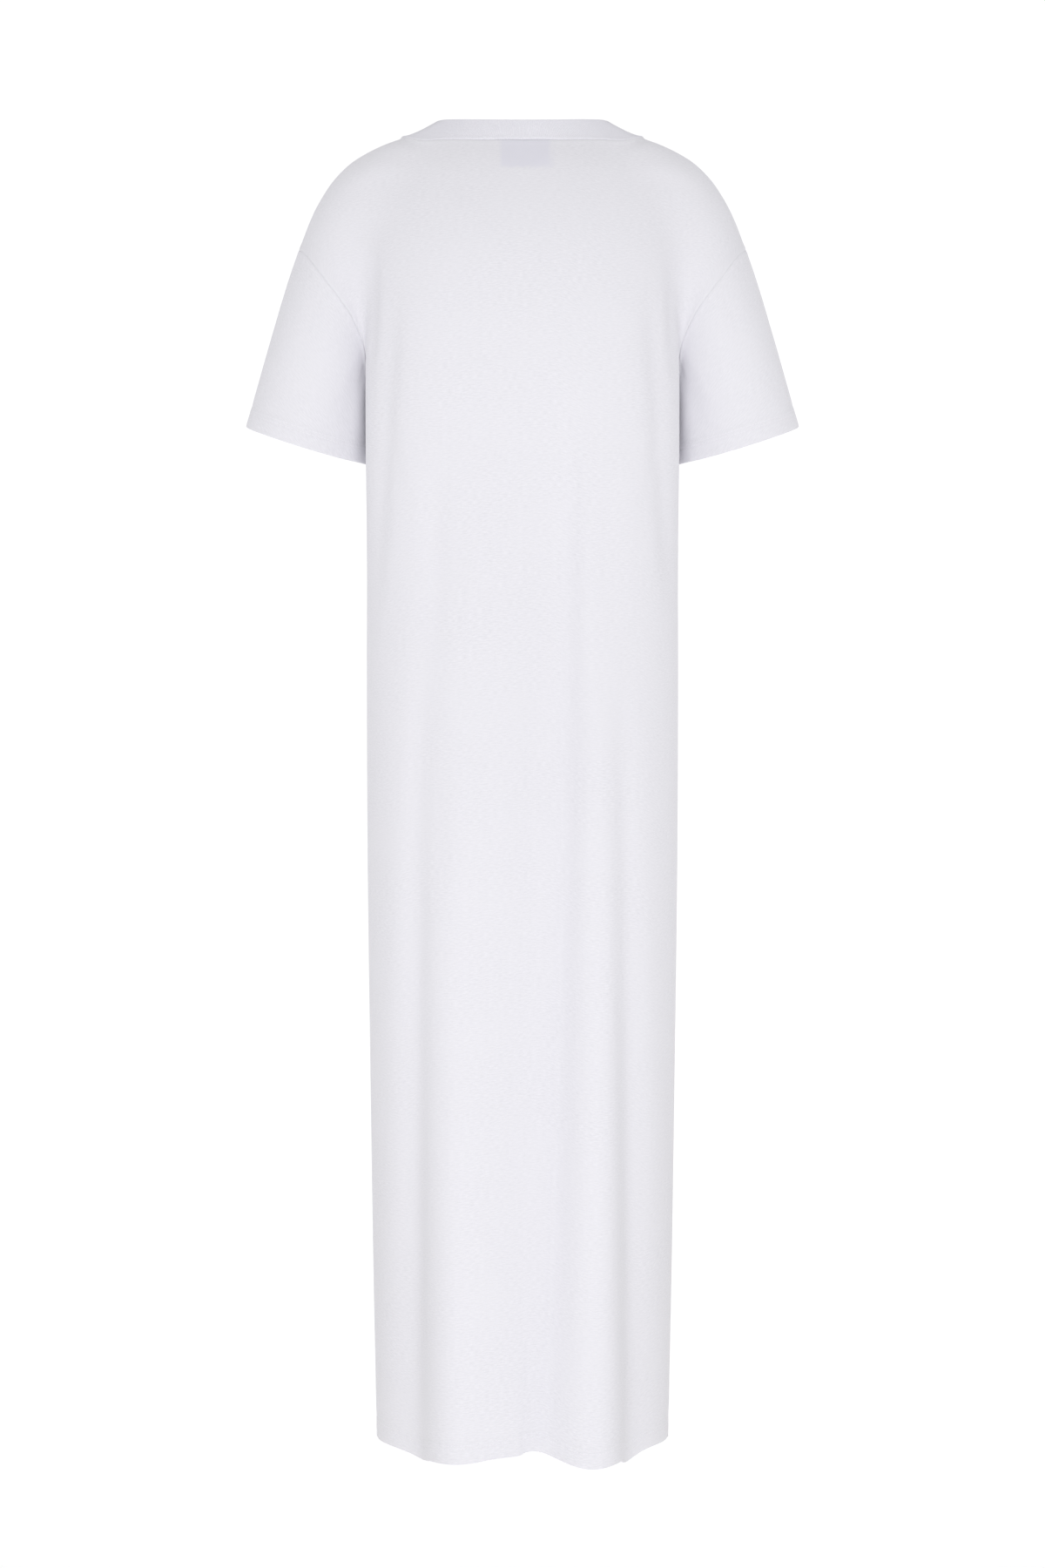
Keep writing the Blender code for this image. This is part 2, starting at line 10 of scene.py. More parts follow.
import bpy
import numpy as np
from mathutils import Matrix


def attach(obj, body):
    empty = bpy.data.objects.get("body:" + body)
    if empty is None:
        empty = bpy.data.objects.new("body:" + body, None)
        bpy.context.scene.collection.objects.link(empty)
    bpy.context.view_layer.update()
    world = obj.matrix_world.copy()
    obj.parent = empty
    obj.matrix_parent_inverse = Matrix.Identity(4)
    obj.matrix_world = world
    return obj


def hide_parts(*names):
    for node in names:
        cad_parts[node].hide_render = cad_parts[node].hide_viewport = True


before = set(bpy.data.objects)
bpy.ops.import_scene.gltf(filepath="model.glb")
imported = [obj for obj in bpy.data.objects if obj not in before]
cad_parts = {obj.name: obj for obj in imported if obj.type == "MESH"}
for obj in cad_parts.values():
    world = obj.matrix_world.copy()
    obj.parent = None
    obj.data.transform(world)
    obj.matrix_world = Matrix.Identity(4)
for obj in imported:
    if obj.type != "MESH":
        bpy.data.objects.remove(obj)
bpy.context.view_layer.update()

MM = 0.001
BACK, FRONT = -1, 1
UPRIGHT, STRAIGHT_IN, ALL_WAYS = (0, 0, 1), (0, 1, 0), (1, 1, 1)

# Thicknesses of cloth. CAD_WALL is that of the solids.
JERSEY = 1.2 * MM
HEM = 2.4 * MM
RIB = 2.4 * MM
TAPE = 0.5 * MM
CAD_WALL = 1.5 * MM
# The share of its thickness that folded cloth has at the very edge of the fold
FOLD_EDGE = 0.2

# The turned-up hem, its needle lines' heights and the pull of each, and the step above its raw edge
HEM_DEPTH = 20 * MM
RAW_EDGE = 1.5 * MM
NEEDLE_LINES = (15.3 * MM, 18.9 * MM)
NEEDLE_DIP = 0.3 * MM
NEEDLE_DIP_WIDTH = 0.9 * MM
HEM_STEP = 0.4 * MM
HEM_STEP_RISE = 2 * MM
HEM_STEP_WIDTH = 9 * MM

# Stitches: rings at these shares of half their length
STITCH_PITCH = 3.2 * MM
STITCH_LENGTH = 2.5 * MM
STITCH_RADIUS = 0.28 * MM
STITCH_LIFT = 0.12 * MM
STITCH_DIP = 0.3 * MM
STITCH_TAPER = 0.96
STITCH_SIDES = 6
STITCH_RINGS = np.array([-1, -0.72, 0, 0.72, 1])

# Sewn edges: the seam is a dip, and its turned allowance makes a low ridge beside it
RIDGE_BESIDE = 3.6 * MM
RIDGE_WIDTH = 2.4 * MM
DIP_WIDTH = 1.1 * MM
Seam = namedtuple("Seam", "ridge dip")
SIDE_SEAM = Seam(0.20 * MM, 0.30 * MM)
TOP_SEAM = Seam(0.30 * MM, 0.35 * MM)
SLEEVE_HEAD = Seam(0.20 * MM, 0.35 * MM)
UNDERARM_SEAM = Seam(0.15 * MM, 0.25 * MM)
# The armhole's ridge is this much higher than the side seam's, and grows so over this rise
ARMHOLE_RIDGE = 0.15 * MM
ARMHOLE_RISE = 10 * MM

# The neckband's ribs, its crown, the ridge over its inner allowance and the dip at its seam
RIB_PITCH = 1.8 * MM
RIB_HEIGHT = 0.22 * MM
RIB_FROM_FOLD = 1.5 * MM
RIB_FROM_SEAM = 1.0 * MM
BAND_CROWN = 0.4 * MM
BAND_RIDGE = 0.4 * MM
BAND_RIDGE_UP = 2.4 * MM
BAND_RIDGE_WIDTH = 1.5 * MM
BAND_SEAM_DIP = 0.35 * MM
BAND_SEAM_WIDTH = 0.9 * MM

# Levels and places on the body
HEM_LEVEL = -1.344
UNDERARM_LEVEL = -0.262
YOKE_LEVEL = -0.420
SIDE_FORWARD = 0.010
SIDE_FORWARD_FROM = -0.800
NECK_HALF_WIDTH = 0.1250
NECK_FRONT_DEPTH = 0.090
NECK_BACK_DROP = 0.019
NECK_FRONT_DROP = 0.094
NECK_SIDE_DROP = 0.0032
BAND_HALF_WIDTH = 0.0870
BAND_BACK_DEPTH = 0.0545
BAND_FRONT_DEPTH = 0.0755
BAND_SIDE_RISE = 0.0142
BAND_DIP = 0.003
BAND_BACK_RISE = 0.0040
BAND_FRONT_DROP = 0.0760
LABEL_WIDTH = 0.050
LABEL_MIDDLE = 0.004
LABEL_DROP = 0.031
LABEL_GAP = 0.0012
LABEL_BELOW_SEAM = 0.001
LABEL_BOW = 0.00125
# The power by which a neck line falls from its sides to its middle
NECK_CURVE = 1.4
BAND_BACK_CURVE = 1.6

# The coarse grids, as in part.py
HALF_COLUMNS = 18
NECK_COLUMNS = 8
ARMHOLE_ROWS = 13
YOKE_SIDE_ROWS = 6
SLEEVE_ROWS = 6
EVEN_STEPS = 60
SEAM_STEPS = 120
RING_STEPS = 480
SLOPE_STEP = 1e-5
TINY = 1e-6
ROUGH_DEPTH = 0.1

# The finer grids
BODY_STEP = 5 * MM
COLUMNS_EACH = 4
YOKE_ROWS_EACH = 5
SLEEVE_ROW_COUNT = 38
SLEEVE_COLUMNS_EACH = 6
RIB_SIDES = 4
LABEL_COLUMNS = 25
LABEL_ROWS = 17
# Rows above a folded hem, close together at the fold and at the needle lines
HEM_STEPS = np.array([
    0, 0.35, 0.8, 1.4, 2.4, 4, 6.5, 9.5, 12.2, 13.9, 14.6, 15.3, 16, 17.1, 18.2, 18.9, 19.6, 20.4,
    21.6, 24, 28,
]) * MM
# Columns and rows beside a sewn edge, as shares of a coarse square, and a sleeve's rows below its seam
EDGE_SHARES = np.array([0, 0.05, 0.11, 0.18, 0.27, 0.38, 0.50, 0.70])
SEAM_STEPS_BESIDE = np.array([0, 0.5, 1.1, 1.8, 2.7, 3.8, 5.2, 7]) * MM
# The neckband's rows below its folded edge, in twenty-seconds of its height
BAND_ROWS_BELOW = np.array([0, 0.4, 0.9, 1.6, 3, 5, 7.5, 10, 12.5, 15, 17, 18.6, 19.8, 20.8, 21.5, 22])

# The level sections of the body. pinch is how far the side seam is pressed in beside the arm.
Section = namedtuple("Section", "z half_width back front square pinch")
TORSO = [
    Section(-1.360, 0.1505, 0.136, 0.124, 1.60, 0.000),
    Section(-1.200, 0.1535, 0.136, 0.122, 1.85, 0.000),
    Section(-0.950, 0.1570, 0.135, 0.119, 2.30, 0.000),
    Section(-0.730, 0.1595, 0.134, 0.118, 2.60, 0.000),
    Section(-0.560, 0.1608, 0.126, 0.120, 2.75, 0.010),
    Section(-0.430, 0.1625, 0.122, 0.125, 2.85, 0.040),
    Section(-0.340, 0.1640, 0.123, 0.129, 2.95, 0.078),
    Section(-0.250, 0.1640, 0.125, 0.129, 3.00, 0.080),
    Section(-0.180, 0.1640, 0.122, 0.120, 2.90, 0.060),
    Section(-0.120, 0.1680, 0.112, 0.104, 2.60, 0.020),
    Section(-0.075, 0.1720, 0.096, 0.088, 2.35, 0.000),
    Section(-0.040, 0.1660, 0.078, 0.072, 2.20, 0.000),
    Section(-0.018, 0.1480, 0.062, 0.058, 2.10, 0.000),
    Section(0.000, 0.1150, 0.052, 0.046, 2.00, 0.000),
    Section(0.030, 0.0700, 0.040, 0.030, 2.00, 0.000),
]
# How softly body and arm run together at the underarm, and BLEND_RISE above it, where the arm's
# pinch lies, and how far a sleeve stays off the body
SHARP_BLEND = 0.003
SOFT_BLEND = 0.030
BLEND_RISE = 0.15
ARM_CLEARANCE = 0.004
PINCH_CENTRE = 0.012
PINCH_WIDTH = 0.040

# The shoulder and arm, measured along and square to the sleeve's straight outer edge
ArmSection = namedtuple("ArmSection", "along outer inner half_depth forward")
ARM = [
    ArmSection(-0.150, -0.0930, -0.120, 0.030, 0.000),
    ArmSection(-0.118, -0.0485, -0.120, 0.046, 0.002),
    ArmSection(-0.098, -0.0255, -0.119, 0.052, 0.004),
    ArmSection(-0.079, -0.0135, -0.118, 0.056, 0.006),
    ArmSection(-0.050, -0.0045, -0.117, 0.060, 0.008),
    ArmSection(0.000, 0.0005, -0.116, 0.063, 0.010),
    ArmSection(0.100, 0.0015, -0.117, 0.062, 0.012),
    ArmSection(0.150, 0.0008, -0.124, 0.057, 0.014),
    ArmSection(0.199, 0.0003, -0.133, 0.053, 0.015),
]
# The shoulder tip, the sleeve's slope from upright, and its cuff, which tilts up towards the front
ARM_TIP = (0.2309, -0.117)
ARM_LEAN_DEG = 17.1
CUFF_ALONG = 0.1985
CUFF_TILT_DEG = 9.0
SLEEVE_MEAN_LENGTH = 0.155
FIRST_RING = 0.05
SECOND_RING = 0.16

# The armhole seam, from the underarm up to the shoulder tip, and the shoulder seam, from the neck out
SeamPoint = namedtuple("SeamPoint", "x y z")
ARMHOLE_BACK = [
    SeamPoint(0.1510, 0.010, -0.262),
    SeamPoint(0.1565, -0.014, -0.250),
    SeamPoint(0.1610, -0.033, -0.226),
    SeamPoint(0.1750, -0.048, -0.193),
    SeamPoint(0.1960, -0.049, -0.163),
    SeamPoint(0.2200, -0.030, -0.130),
    SeamPoint(0.2315, 0.008, -0.117),
]
ARMHOLE_FRONT = [
    SeamPoint(0.1510, 0.010, -0.262),
    SeamPoint(0.1565, 0.034, -0.250),
    SeamPoint(0.1610, 0.053, -0.226),
    SeamPoint(0.1750, 0.068, -0.193),
    SeamPoint(0.1960, 0.069, -0.163),
    SeamPoint(0.2200, 0.050, -0.130),
    SeamPoint(0.2315, 0.008, -0.117),
]
# The back of the neck seam, from its middle to the neck point. It looks straight from behind.
BACK_NECK = [
    SeamPoint(0.0000, -0.0622, -NECK_BACK_DROP),
    SeamPoint(0.0400, -0.0602, -0.0180),
    SeamPoint(0.0800, -0.0520, -0.0160),
    SeamPoint(0.1060, -0.0460, -0.0145),
    SeamPoint(0.1190, -0.0340, -0.0115),
    SeamPoint(0.1240, -0.0170, -0.0075),
    SeamPoint(NECK_HALF_WIDTH, 0.000, -NECK_SIDE_DROP),
]
SHOULDER = [
    SeamPoint(NECK_HALF_WIDTH, 0.000, -NECK_SIDE_DROP),
    SeamPoint(0.1400, 0.004, -0.0095),
    SeamPoint(0.1690, 0.007, -0.0235),
    SeamPoint(0.1950, 0.008, -0.045),
    SeamPoint(0.2093, 0.008, -0.067),
    SeamPoint(0.2201, 0.008, -0.088),
    SeamPoint(0.2315, 0.008, -0.117),
]

# The large folds, as in part.py: a trough's depth is positive, a ridge's negative
Fold = namedtuple("Fold", "x_high x_low z_high z_low depth width_high width_low lean sharp")
BACK_FOLDS = [
    Fold(0.046, 0.021, -0.170, -1.344, 0.034, 0.019, 0.040, 1.50, 0.75),
    Fold(-0.070, -0.070, -0.420, -1.344, -0.010, 0.024, 0.026, 1.00, 1.00),
    Fold(0.084, 0.080, -0.420, -1.344, -0.013, 0.018, 0.026, 1.00, 1.00),
    Fold(-0.100, -0.117, -0.460, -1.344, 0.015, 0.010, 0.020, 1.00, 0.90),
    Fold(0.096, 0.117, -0.480, -1.344, 0.015, 0.010, 0.020, 1.00, 0.90),
    Fold(0.053, 0.038, -0.300, -1.344, 0.007, 0.010, 0.010, 1.00, 0.80),
    Fold(-0.127, -0.152, -0.150, -0.540, 0.004, 0.011, 0.009, 1.00, 0.00),
    Fold(0.127, 0.152, -0.150, -0.540, 0.004, 0.011, 0.009, 1.00, 0.00),
    Fold(-0.086, -0.098, -0.330, -0.760, 0.002, 0.014, 0.016, 1.00, 0.00),
]
FRONT_FOLDS = [
    Fold(-0.024, -0.018, -0.330, -1.344, 0.036, 0.020, 0.040, 0.75, 1.40),
    Fold(0.058, 0.066, -0.430, -1.344, 0.014, 0.014, 0.024, 1.00, 1.00),
    Fold(0.026, 0.026, -0.480, -1.344, -0.008, 0.016, 0.022, 1.00, 1.00),
    Fold(-0.102, -0.107, -0.520, -1.344, 0.011, 0.010, 0.018, 1.00, 0.90),
    Fold(0.104, 0.110, -0.560, -1.344, 0.009, 0.010, 0.017, 1.00, 0.90),
    Fold(-0.127, -0.150, -0.160, -0.520, 0.004, 0.011, 0.009, 1.00, 0.00),
    Fold(0.127, 0.150, -0.160, -0.520, 0.004, 0.011, 0.009, 1.00, 0.00),
]
# The shares of their length over which folds and creases fade
FADE_IN, FADE_OUT = 0.25, 0.40
# Waves of the hem, seen from behind: how much lower the cloth hangs about x
HemWave = namedtuple("HemWave", "x drop width")
BACK_HEM = [
    HemWave(-0.113, 0.008, 0.018),
    HemWave(-0.030, -0.004, 0.022),
    HemWave(0.016, -0.009, 0.032),
    HemWave(0.060, 0.005, 0.022),
    HemWave(0.115, 0.011, 0.015),
]
FRONT_HEM = [HemWave(-0.020, -0.005, 0.036), HemWave(0.090, 0.002, 0.030)]
HEM_WAVE_REACH = 0.30

# Fine creases. Each runs from its high end to its low end and bows sideways by bow at its middle.
# A trough's depth is positive, a ridge's negative.
Crease = namedtuple("Crease", "x_high z_high x_low z_low bow depth width")
BACK_CREASES = [
    Crease(-0.088, -0.290, -0.086, -0.590, 0.003, 0.0014, 0.012),
    Crease(-0.076, -0.590, -0.080, -0.820, -0.003, 0.0016, 0.012),
    Crease(-0.048, -0.380, -0.060, -0.560, 0.004, -0.0009, 0.010),
    Crease(0.092, -0.330, 0.084, -0.560, -0.004, 0.0010, 0.011),
    Crease(0.064, -0.560, 0.070, -0.760, 0.003, -0.0009, 0.010),
    Crease(-0.020, -0.760, -0.026, -0.990, 0.004, 0.0009, 0.012),
    Crease(-0.142, -0.300, -0.118, -0.395, 0.004, 0.0010, 0.006),
    Crease(0.143, -0.305, 0.121, -0.410, -0.004, 0.0010, 0.006),
    Crease(-0.150, -0.120, -0.1535, -0.275, 0.001, 0.0026, 0.006),
    Crease(0.150, -0.125, 0.1535, -0.275, -0.001, 0.0024, 0.006),
]
FRONT_CREASES = [
    Crease(0.084, -0.300, 0.080, -0.580, 0.004, 0.0014, 0.012),
    Crease(-0.086, -0.340, -0.080, -0.600, -0.003, 0.0012, 0.012),
    Crease(0.044, -0.620, 0.050, -0.860, 0.003, -0.0010, 0.011),
    Crease(-0.060, -0.700, -0.066, -0.940, -0.004, 0.0011, 0.012),
    Crease(0.141, -0.300, 0.118, -0.400, -0.004, 0.0010, 0.006),
    Crease(-0.142, -0.295, -0.120, -0.390, 0.004, 0.0010, 0.006),
]
# A sleeve's creases. turn is the share of the way round from the underarm, first over the back, and
# the two ends are distances from the cuff.
SleeveCrease = namedtuple("SleeveCrease", "turn_high high turn_low low depth width")
SLEEVE_CREASES = [
    SleeveCrease(0.06, 0.150, 0.14, 0.060, 0.0012, 0.008),
    SleeveCrease(0.16, 0.130, 0.21, 0.030, -0.0008, 0.010),
    SleeveCrease(0.33, 0.170, 0.30, 0.070, 0.0009, 0.012),
    SleeveCrease(0.94, 0.140, 0.85, 0.050, 0.0012, 0.008),
    SleeveCrease(0.70, 0.160, 0.74, 0.060, 0.0008, 0.012),
]

# A sleeve's back fills out where it lies along the body, this far round from the underarm
PRESSED_OUT = 3.5 * MM
PRESSED_TURN = 0.10
PRESSED_WIDTH = 17 * MM
PRESSED_BELOW = 60 * MM

# The size each piece is cut to, as far as it shows, laid flat: greatest width, greatest length, area
Cut = namedtuple("Cut", "width length area")

# Washed cotton's dry, faintly fuzzy finish, the slope of a knitted V's legs, and how much of the
# jersey's relief is its uneven yarn
COTTON = {"Roughness": 0.95, "Sheen_Weight": 0.25, "Sheen_Roughness": 0.5, "Specular_IOR_Level": 0.2}
KNIT_SLANT = 1.6
YARN_RELIEF = 0.8

# The studio: square lights that face their aims, a floor that sweeps up, and flags beside the skirt
Light = namedtuple("Light", "name place aim size power")
LIGHTS = [
    Light("left_softbox", (-0.6, -3.0, -0.9), (0, 0, -0.8), 1.1, 8.2),
    Light("right_softbox", (0.7, -3.0, -0.9), (0, 0, -0.8), 1.1, 8.5),
    Light("top_light", (0, -1.2, 1.5), (0, 0, -0.1), 1.0, 4.5),
    Light("left_fill", (-2.0, -1.2, -0.7), (0, 0, -0.8), 1.2, 2.8),
    Light("right_fill", (2.0, -1.2, -0.7), (0, 0, -0.8), 1.2, 2.8),
]
SURROUND = 0.64
FLOOR_LEVEL = HEM_LEVEL - 0.25
FLOOR_REACH = 5.0
SWEEP_FROM = 3.0
SWEEP_RADIUS = 1.5
FLAG_ASIDE = 0.80
FLAG_HALF_WIDTH = 0.35
FLAG_HEIGHTS = (-1.56, -1.25)


def column(table, name):
    """One named column of a table, as an array."""
    return np.array([getattr(row, name) for row in table])


def cubic(t, start, end, leaving, arriving):
    """The cubic from start to end, as t goes from 0 to 1, that leaves and arrives with these slopes."""
    start = (2 * t**3 - 3 * t**2 + 1) * start + (t**3 - 2 * t**2 + t) * leaving
    return start + (3 * t**2 - 2 * t**3) * end + (t**3 - t**2) * arriving


def smooth(at, known, values):
    """A cubic through the known values, each slope taken from its two neighbours."""
    slope = np.gradient(values, known)
    low = np.clip(np.searchsorted(known, at) - 1, 0, len(known) - 2)
    step = known[low + 1] - known[low]
    t = np.clip((at - known[low]) / step, 0, 1)
    return cubic(t, values[low], values[low + 1], step * slope[low], step * slope[low + 1])


def sections_at(table, at, *names):
    """The named columns of a table of sections, at places along its first column."""
    known = column(table, table[0]._fields[0])
    return [smooth(at, known, column(table, name)) for name in names]


def ease(t):
    """Rises from 0 to 1 with level ends: 3 t squared less 2 t cubed."""
    t = np.clip(t, 0, 1)
    return t * t * (3 - 2 * t)


def bump(distance, width):
    """A bell, 1 in the middle: e to the power of less the square of distance over width."""
    return np.exp(-((distance / width) ** 2))


def pinch(y, z):
    """How much narrower the body is at depth y, where the arm presses its side in."""
    share = sections_at(TORSO, z, "pinch")[0]
    return 1 - share * bump(y - PINCH_CENTRE, PINCH_WIDTH)


def torso_gap(points):
    """How far out, in plan, each point is from the body's level section, a squared oval."""
    x, y, z = np.moveaxis(points, -1, 0)
    width, back, front, square = sections_at(TORSO, z, "half_width", "back", "front", "square")
    width, depth = width * pinch(y, z), np.where(y < 0, back, front)
    reach = ((np.abs(x) / width) ** square + (np.abs(y) / depth) ** square) ** (1 / square)
    return (1 - 1 / np.maximum(reach, TINY)) * np.hypot(x, y)


def arm_gap(points):
    """How far out each point is from the arm's oval section, square to the sleeve."""
    x, y, z = np.moveaxis(points, -1, 0)
    lean = np.radians(ARM_LEAN_DEG)
    out, up = np.abs(x) - ARM_TIP[0], z - ARM_TIP[1]
    along = out * np.sin(lean) - up * np.cos(lean)
    across = out * np.cos(lean) + up * np.sin(lean)
    outer, inner, half_depth, forward = sections_at(ARM, along, "outer", "inner", "half_depth", "forward")
    across, y = across - (outer + inner) / 2, y - forward
    reach = np.hypot(across / ((outer - inner) / 2), y / half_depth)
    return (1 - 1 / np.maximum(reach, TINY)) * np.hypot(across, y)


def worn_gap(points):
    """The body and the arm run together, softly at the shoulder and sharply at the underarm."""
    torso, arm = torso_gap(points), arm_gap(points)
    softness = ease((points[..., 2] - UNDERARM_LEVEL) / BLEND_RISE)
    blend = SHARP_BLEND + (SOFT_BLEND - SHARP_BLEND) * softness
    share = np.clip(0.5 + 0.5 * (torso - arm) / blend, 0, 1)
    return torso + (arm - torso) * share - blend * share * (1 - share)


def outward(points, gap=worn_gap):
    """A form's slope at each point, by small steps along each axis."""
    moves = np.eye(3) * SLOPE_STEP
    return np.stack([gap(points + m) - gap(points - m) for m in moves], -1) / (2 * SLOPE_STEP)


def settle(points, steps=10, gap=worn_gap, furthest=0.01, axes=ALL_WAYS):
    """Moves each point square onto a form, or only along the axes given."""
    for _ in range(steps):
        slope = outward(points, gap) * axes
        move = -slope * (gap(points) / np.maximum((slope**2).sum(-1), TINY))[..., None]
        length = np.linalg.norm(move, axis=-1, keepdims=True)
        points = points + move * np.minimum(1, furthest / np.maximum(length, TINY**2))
    return points


def run_along(points, axis=0):
    """The distance along each line of points from its start."""
    steps = np.linalg.norm(np.diff(points, axis=axis), axis=-1)
    first = np.zeros_like(np.take(steps, [0], axis=axis))
    return np.concatenate([first, np.cumsum(steps, axis=axis)], axis=axis)


def at_distances(at, run, values):
    """A line's points, or other values, at distances along it."""
    return np.stack([np.interp(at, run, values[:, k]) for k in range(3)], axis=-1)


def even(points, count):
    """count + 1 points spread evenly along a line of points."""
    run = run_along(points)
    return at_distances(np.linspace(0, run[-1], count + 1), run, points)


def seam_line(table, count, axes=ALL_WAYS):
    """count + 1 even points along a smooth curve through a seam's points, settled on the worn form."""
    points = np.array(table)
    run = run_along(points)
    at = np.linspace(0, run[-1], SEAM_STEPS + 1)
    line = np.stack([smooth(at, run, points[:, k]) for k in range(3)], axis=1)
    return even(settle(line, axes=axes), count)


def shoulder_line(count):
    """The shoulder seam, from the neck out to the shoulder tip."""
    return seam_line(SHOULDER, count)


def armhole_line(side, count):
    """One half of the armhole, from the underarm up to the shoulder tip."""
    line = seam_line(ARMHOLE_BACK if side == BACK else ARMHOLE_FRONT, count)
    line[0], line[-1] = side_seam([UNDERARM_LEVEL])[0], shoulder_line(1)[-1]
    return line


def neck_line(side, count, half_width, depth, centre_z, side_z, power):
    """Half of an oval about the neck, from its middle to the neck point."""
    turn = np.linspace(0, np.pi / 2, count + 1)
    z = side_z + (centre_z - side_z) * np.cos(turn) ** power
    return np.stack([half_width * np.sin(turn), side * depth * np.cos(turn), z], axis=1)


def neck_seam(side, count):
    """Half of the neck seam, from its middle to the neck point: a table's curve behind, an oval in front."""
    back = seam_line(BACK_NECK, count, UPRIGHT)
    if side == BACK:
        return back
    front = (NECK_HALF_WIDTH, NECK_FRONT_DEPTH, -NECK_FRONT_DROP, -NECK_SIDE_DROP, NECK_CURVE)
    line = settle(neck_line(FRONT, SEAM_STEPS, *front)[:-1])
    return even(np.append(line, back[-1:], axis=0), count)


def ring_half(side, z, count):
    """A level section of one panel, from its middle to the side seam, spread evenly."""
    width, back, front, square = sections_at(TORSO, z, "half_width", "back", "front", "square")
    turn = np.linspace(0, np.pi, RING_STEPS + 1)
    y = np.where(turn < np.pi / 2, -back, front) * np.abs(np.cos(turn)) ** (2 / square)
    x = width * np.sin(turn) ** (2 / square) * pinch(y, z)
    line = np.stack([x, y, y * 0 + z], axis=1)
    seam_y = SIDE_FORWARD * ease((z - SIDE_FORWARD_FROM) / (UNDERARM_LEVEL - SIDE_FORWARD_FROM))
    seam = [np.interp(seam_y, y, x), seam_y, z]
    kept = line[y < seam_y] if side == BACK else line[y > seam_y][::-1]
    return even(np.append(kept, [seam], axis=0), count)


def side_seam(levels):
    """The side seam's points at these levels, from the low one up."""
    return np.array([ring_half(BACK, z, 1)[-1] for z in levels])


def yoke(side):
    """Half of a panel above YOKE_LEVEL: a patch blended from its four edges, evened out and settled on
    the worn form, as in part.py."""
    n, rows = HALF_COLUMNS, YOKE_SIDE_ROWS + ARMHOLE_ROWS
    low = ring_half(side, YOKE_LEVEL, n)
    high = np.concatenate([neck_seam(side, NECK_COLUMNS), shoulder_line(n - NECK_COLUMNS)[1:]])
    up_side = side_seam(np.linspace(YOKE_LEVEL, UNDERARM_LEVEL, YOKE_SIDE_ROWS + 1))
    edge = np.concatenate([up_side[:-1], armhole_line(side, ARMHOLE_ROWS)])
    levels = np.linspace(YOKE_LEVEL, high[0, 2], rows + 1)
    middle = settle(np.stack([levels * 0, levels * 0 + side * ROUGH_DEPTH, levels], axis=1))
    middle[0], middle[-1] = low[0], high[0]
    u = np.linspace(0, 1, n + 1)[None, :, None]
    v = np.linspace(0, 1, rows + 1)[:, None, None]
    patch = (1 - v) * low + v * high + (1 - u) * middle[:, None] + u * edge[:, None]
    patch -= (1 - v) * ((1 - u) * low[0] + u * low[-1]) + v * ((1 - u) * high[0] + u * high[-1])
    for _ in range(EVEN_STEPS):
        inner = patch[2:, 1:-1] + patch[:-2, 1:-1] + patch[1:-1, 2:] + patch[1:-1, :-2]
        patch[1:-1, 1:-1] = settle(inner / 4, steps=2)
    return patch


def finer_rows(grid, rows):
    """The cubic through a grid's rows, at fractional row numbers, the same for each column or not."""
    known = np.arange(len(grid))
    slope = np.gradient(grid, axis=0)
    rows = np.broadcast_to(rows[:, None] if rows.ndim == 1 else rows, (len(rows), grid.shape[1]))
    low = np.clip(rows.astype(int), 0, len(known) - 2)
    t = (rows - low)[..., None]
    across = np.arange(grid.shape[1])
    here, there = (low, across), (low + 1, across)
    return cubic(t, grid[here], grid[there], slope[here], slope[there])


def finer_columns(grid, columns, closed=False):
    """The cubic through a grid's columns, at fractional column numbers."""
    if closed:
        grid = np.concatenate([grid[:, -2:], grid, grid[:, :3]], axis=1)
        columns = columns + 2
    return finer_rows(grid.swapaxes(0, 1), columns).swapaxes(0, 1)


def fade(t):
    """1 along the middle of a crease, easing to 0 at both of its ends."""
    return ease(t / FADE_OUT) * ease((1 - t) / FADE_OUT)


def fold_depth(x, z, folds):
    """How far the large folds press the cloth in, at each place seen from behind."""
    depth = np.zeros_like(x)
    for fold in folds:
        t = np.clip((fold.z_high - z) / (fold.z_high - fold.z_low), 0, 1)
        middle = fold.x_high + (fold.x_low - fold.x_high) * t
        width = fold.width_high + (fold.width_low - fold.width_high) * t
        width = width * fold.lean ** -np.tanh(2 * (x - middle) / width)
        shown = ease(t / FADE_IN)
        if fold.z_low > HEM_LEVEL:
            shown *= ease((1 - t) / FADE_OUT)
        depth += fold.depth * t**fold.sharp * shown * bump(x - middle, width)
    return depth


def crease_depth(x, z, creases):
    """How far the fine creases press the cloth in: each is a soft line from end to end, bowed like a
    parabola, that fades at both ends."""
    depth = np.zeros_like(x)
    for crease in creases:
        run = np.array([crease.x_low - crease.x_high, crease.z_low - crease.z_high])
        length = np.hypot(*run)
        along, aside = run / length, np.array([-run[1], run[0]]) / length
        t = ((x - crease.x_high) * along[0] + (z - crease.z_high) * along[1]) / length
        off = (x - crease.x_high) * aside[0] + (z - crease.z_high) * aside[1]
        off = off - crease.bow * 4 * t * (1 - t)
        depth += crease.depth * fade(t) * bump(off, crease.width)
    return depth


def hem_drop(x, z, waves):
    """How far the cloth near the hem hangs below level."""
    share = ease((HEM_LEVEL + HEM_WAVE_REACH - z) / HEM_WAVE_REACH)
    return share * sum(wave.drop * bump(x - wave.x, wave.width) for wave in waves)


def unit(vectors):
    """Vectors of the same directions and length 1."""
    return vectors / np.maximum(np.linalg.norm(vectors, axis=-1, keepdims=True), TINY**2)


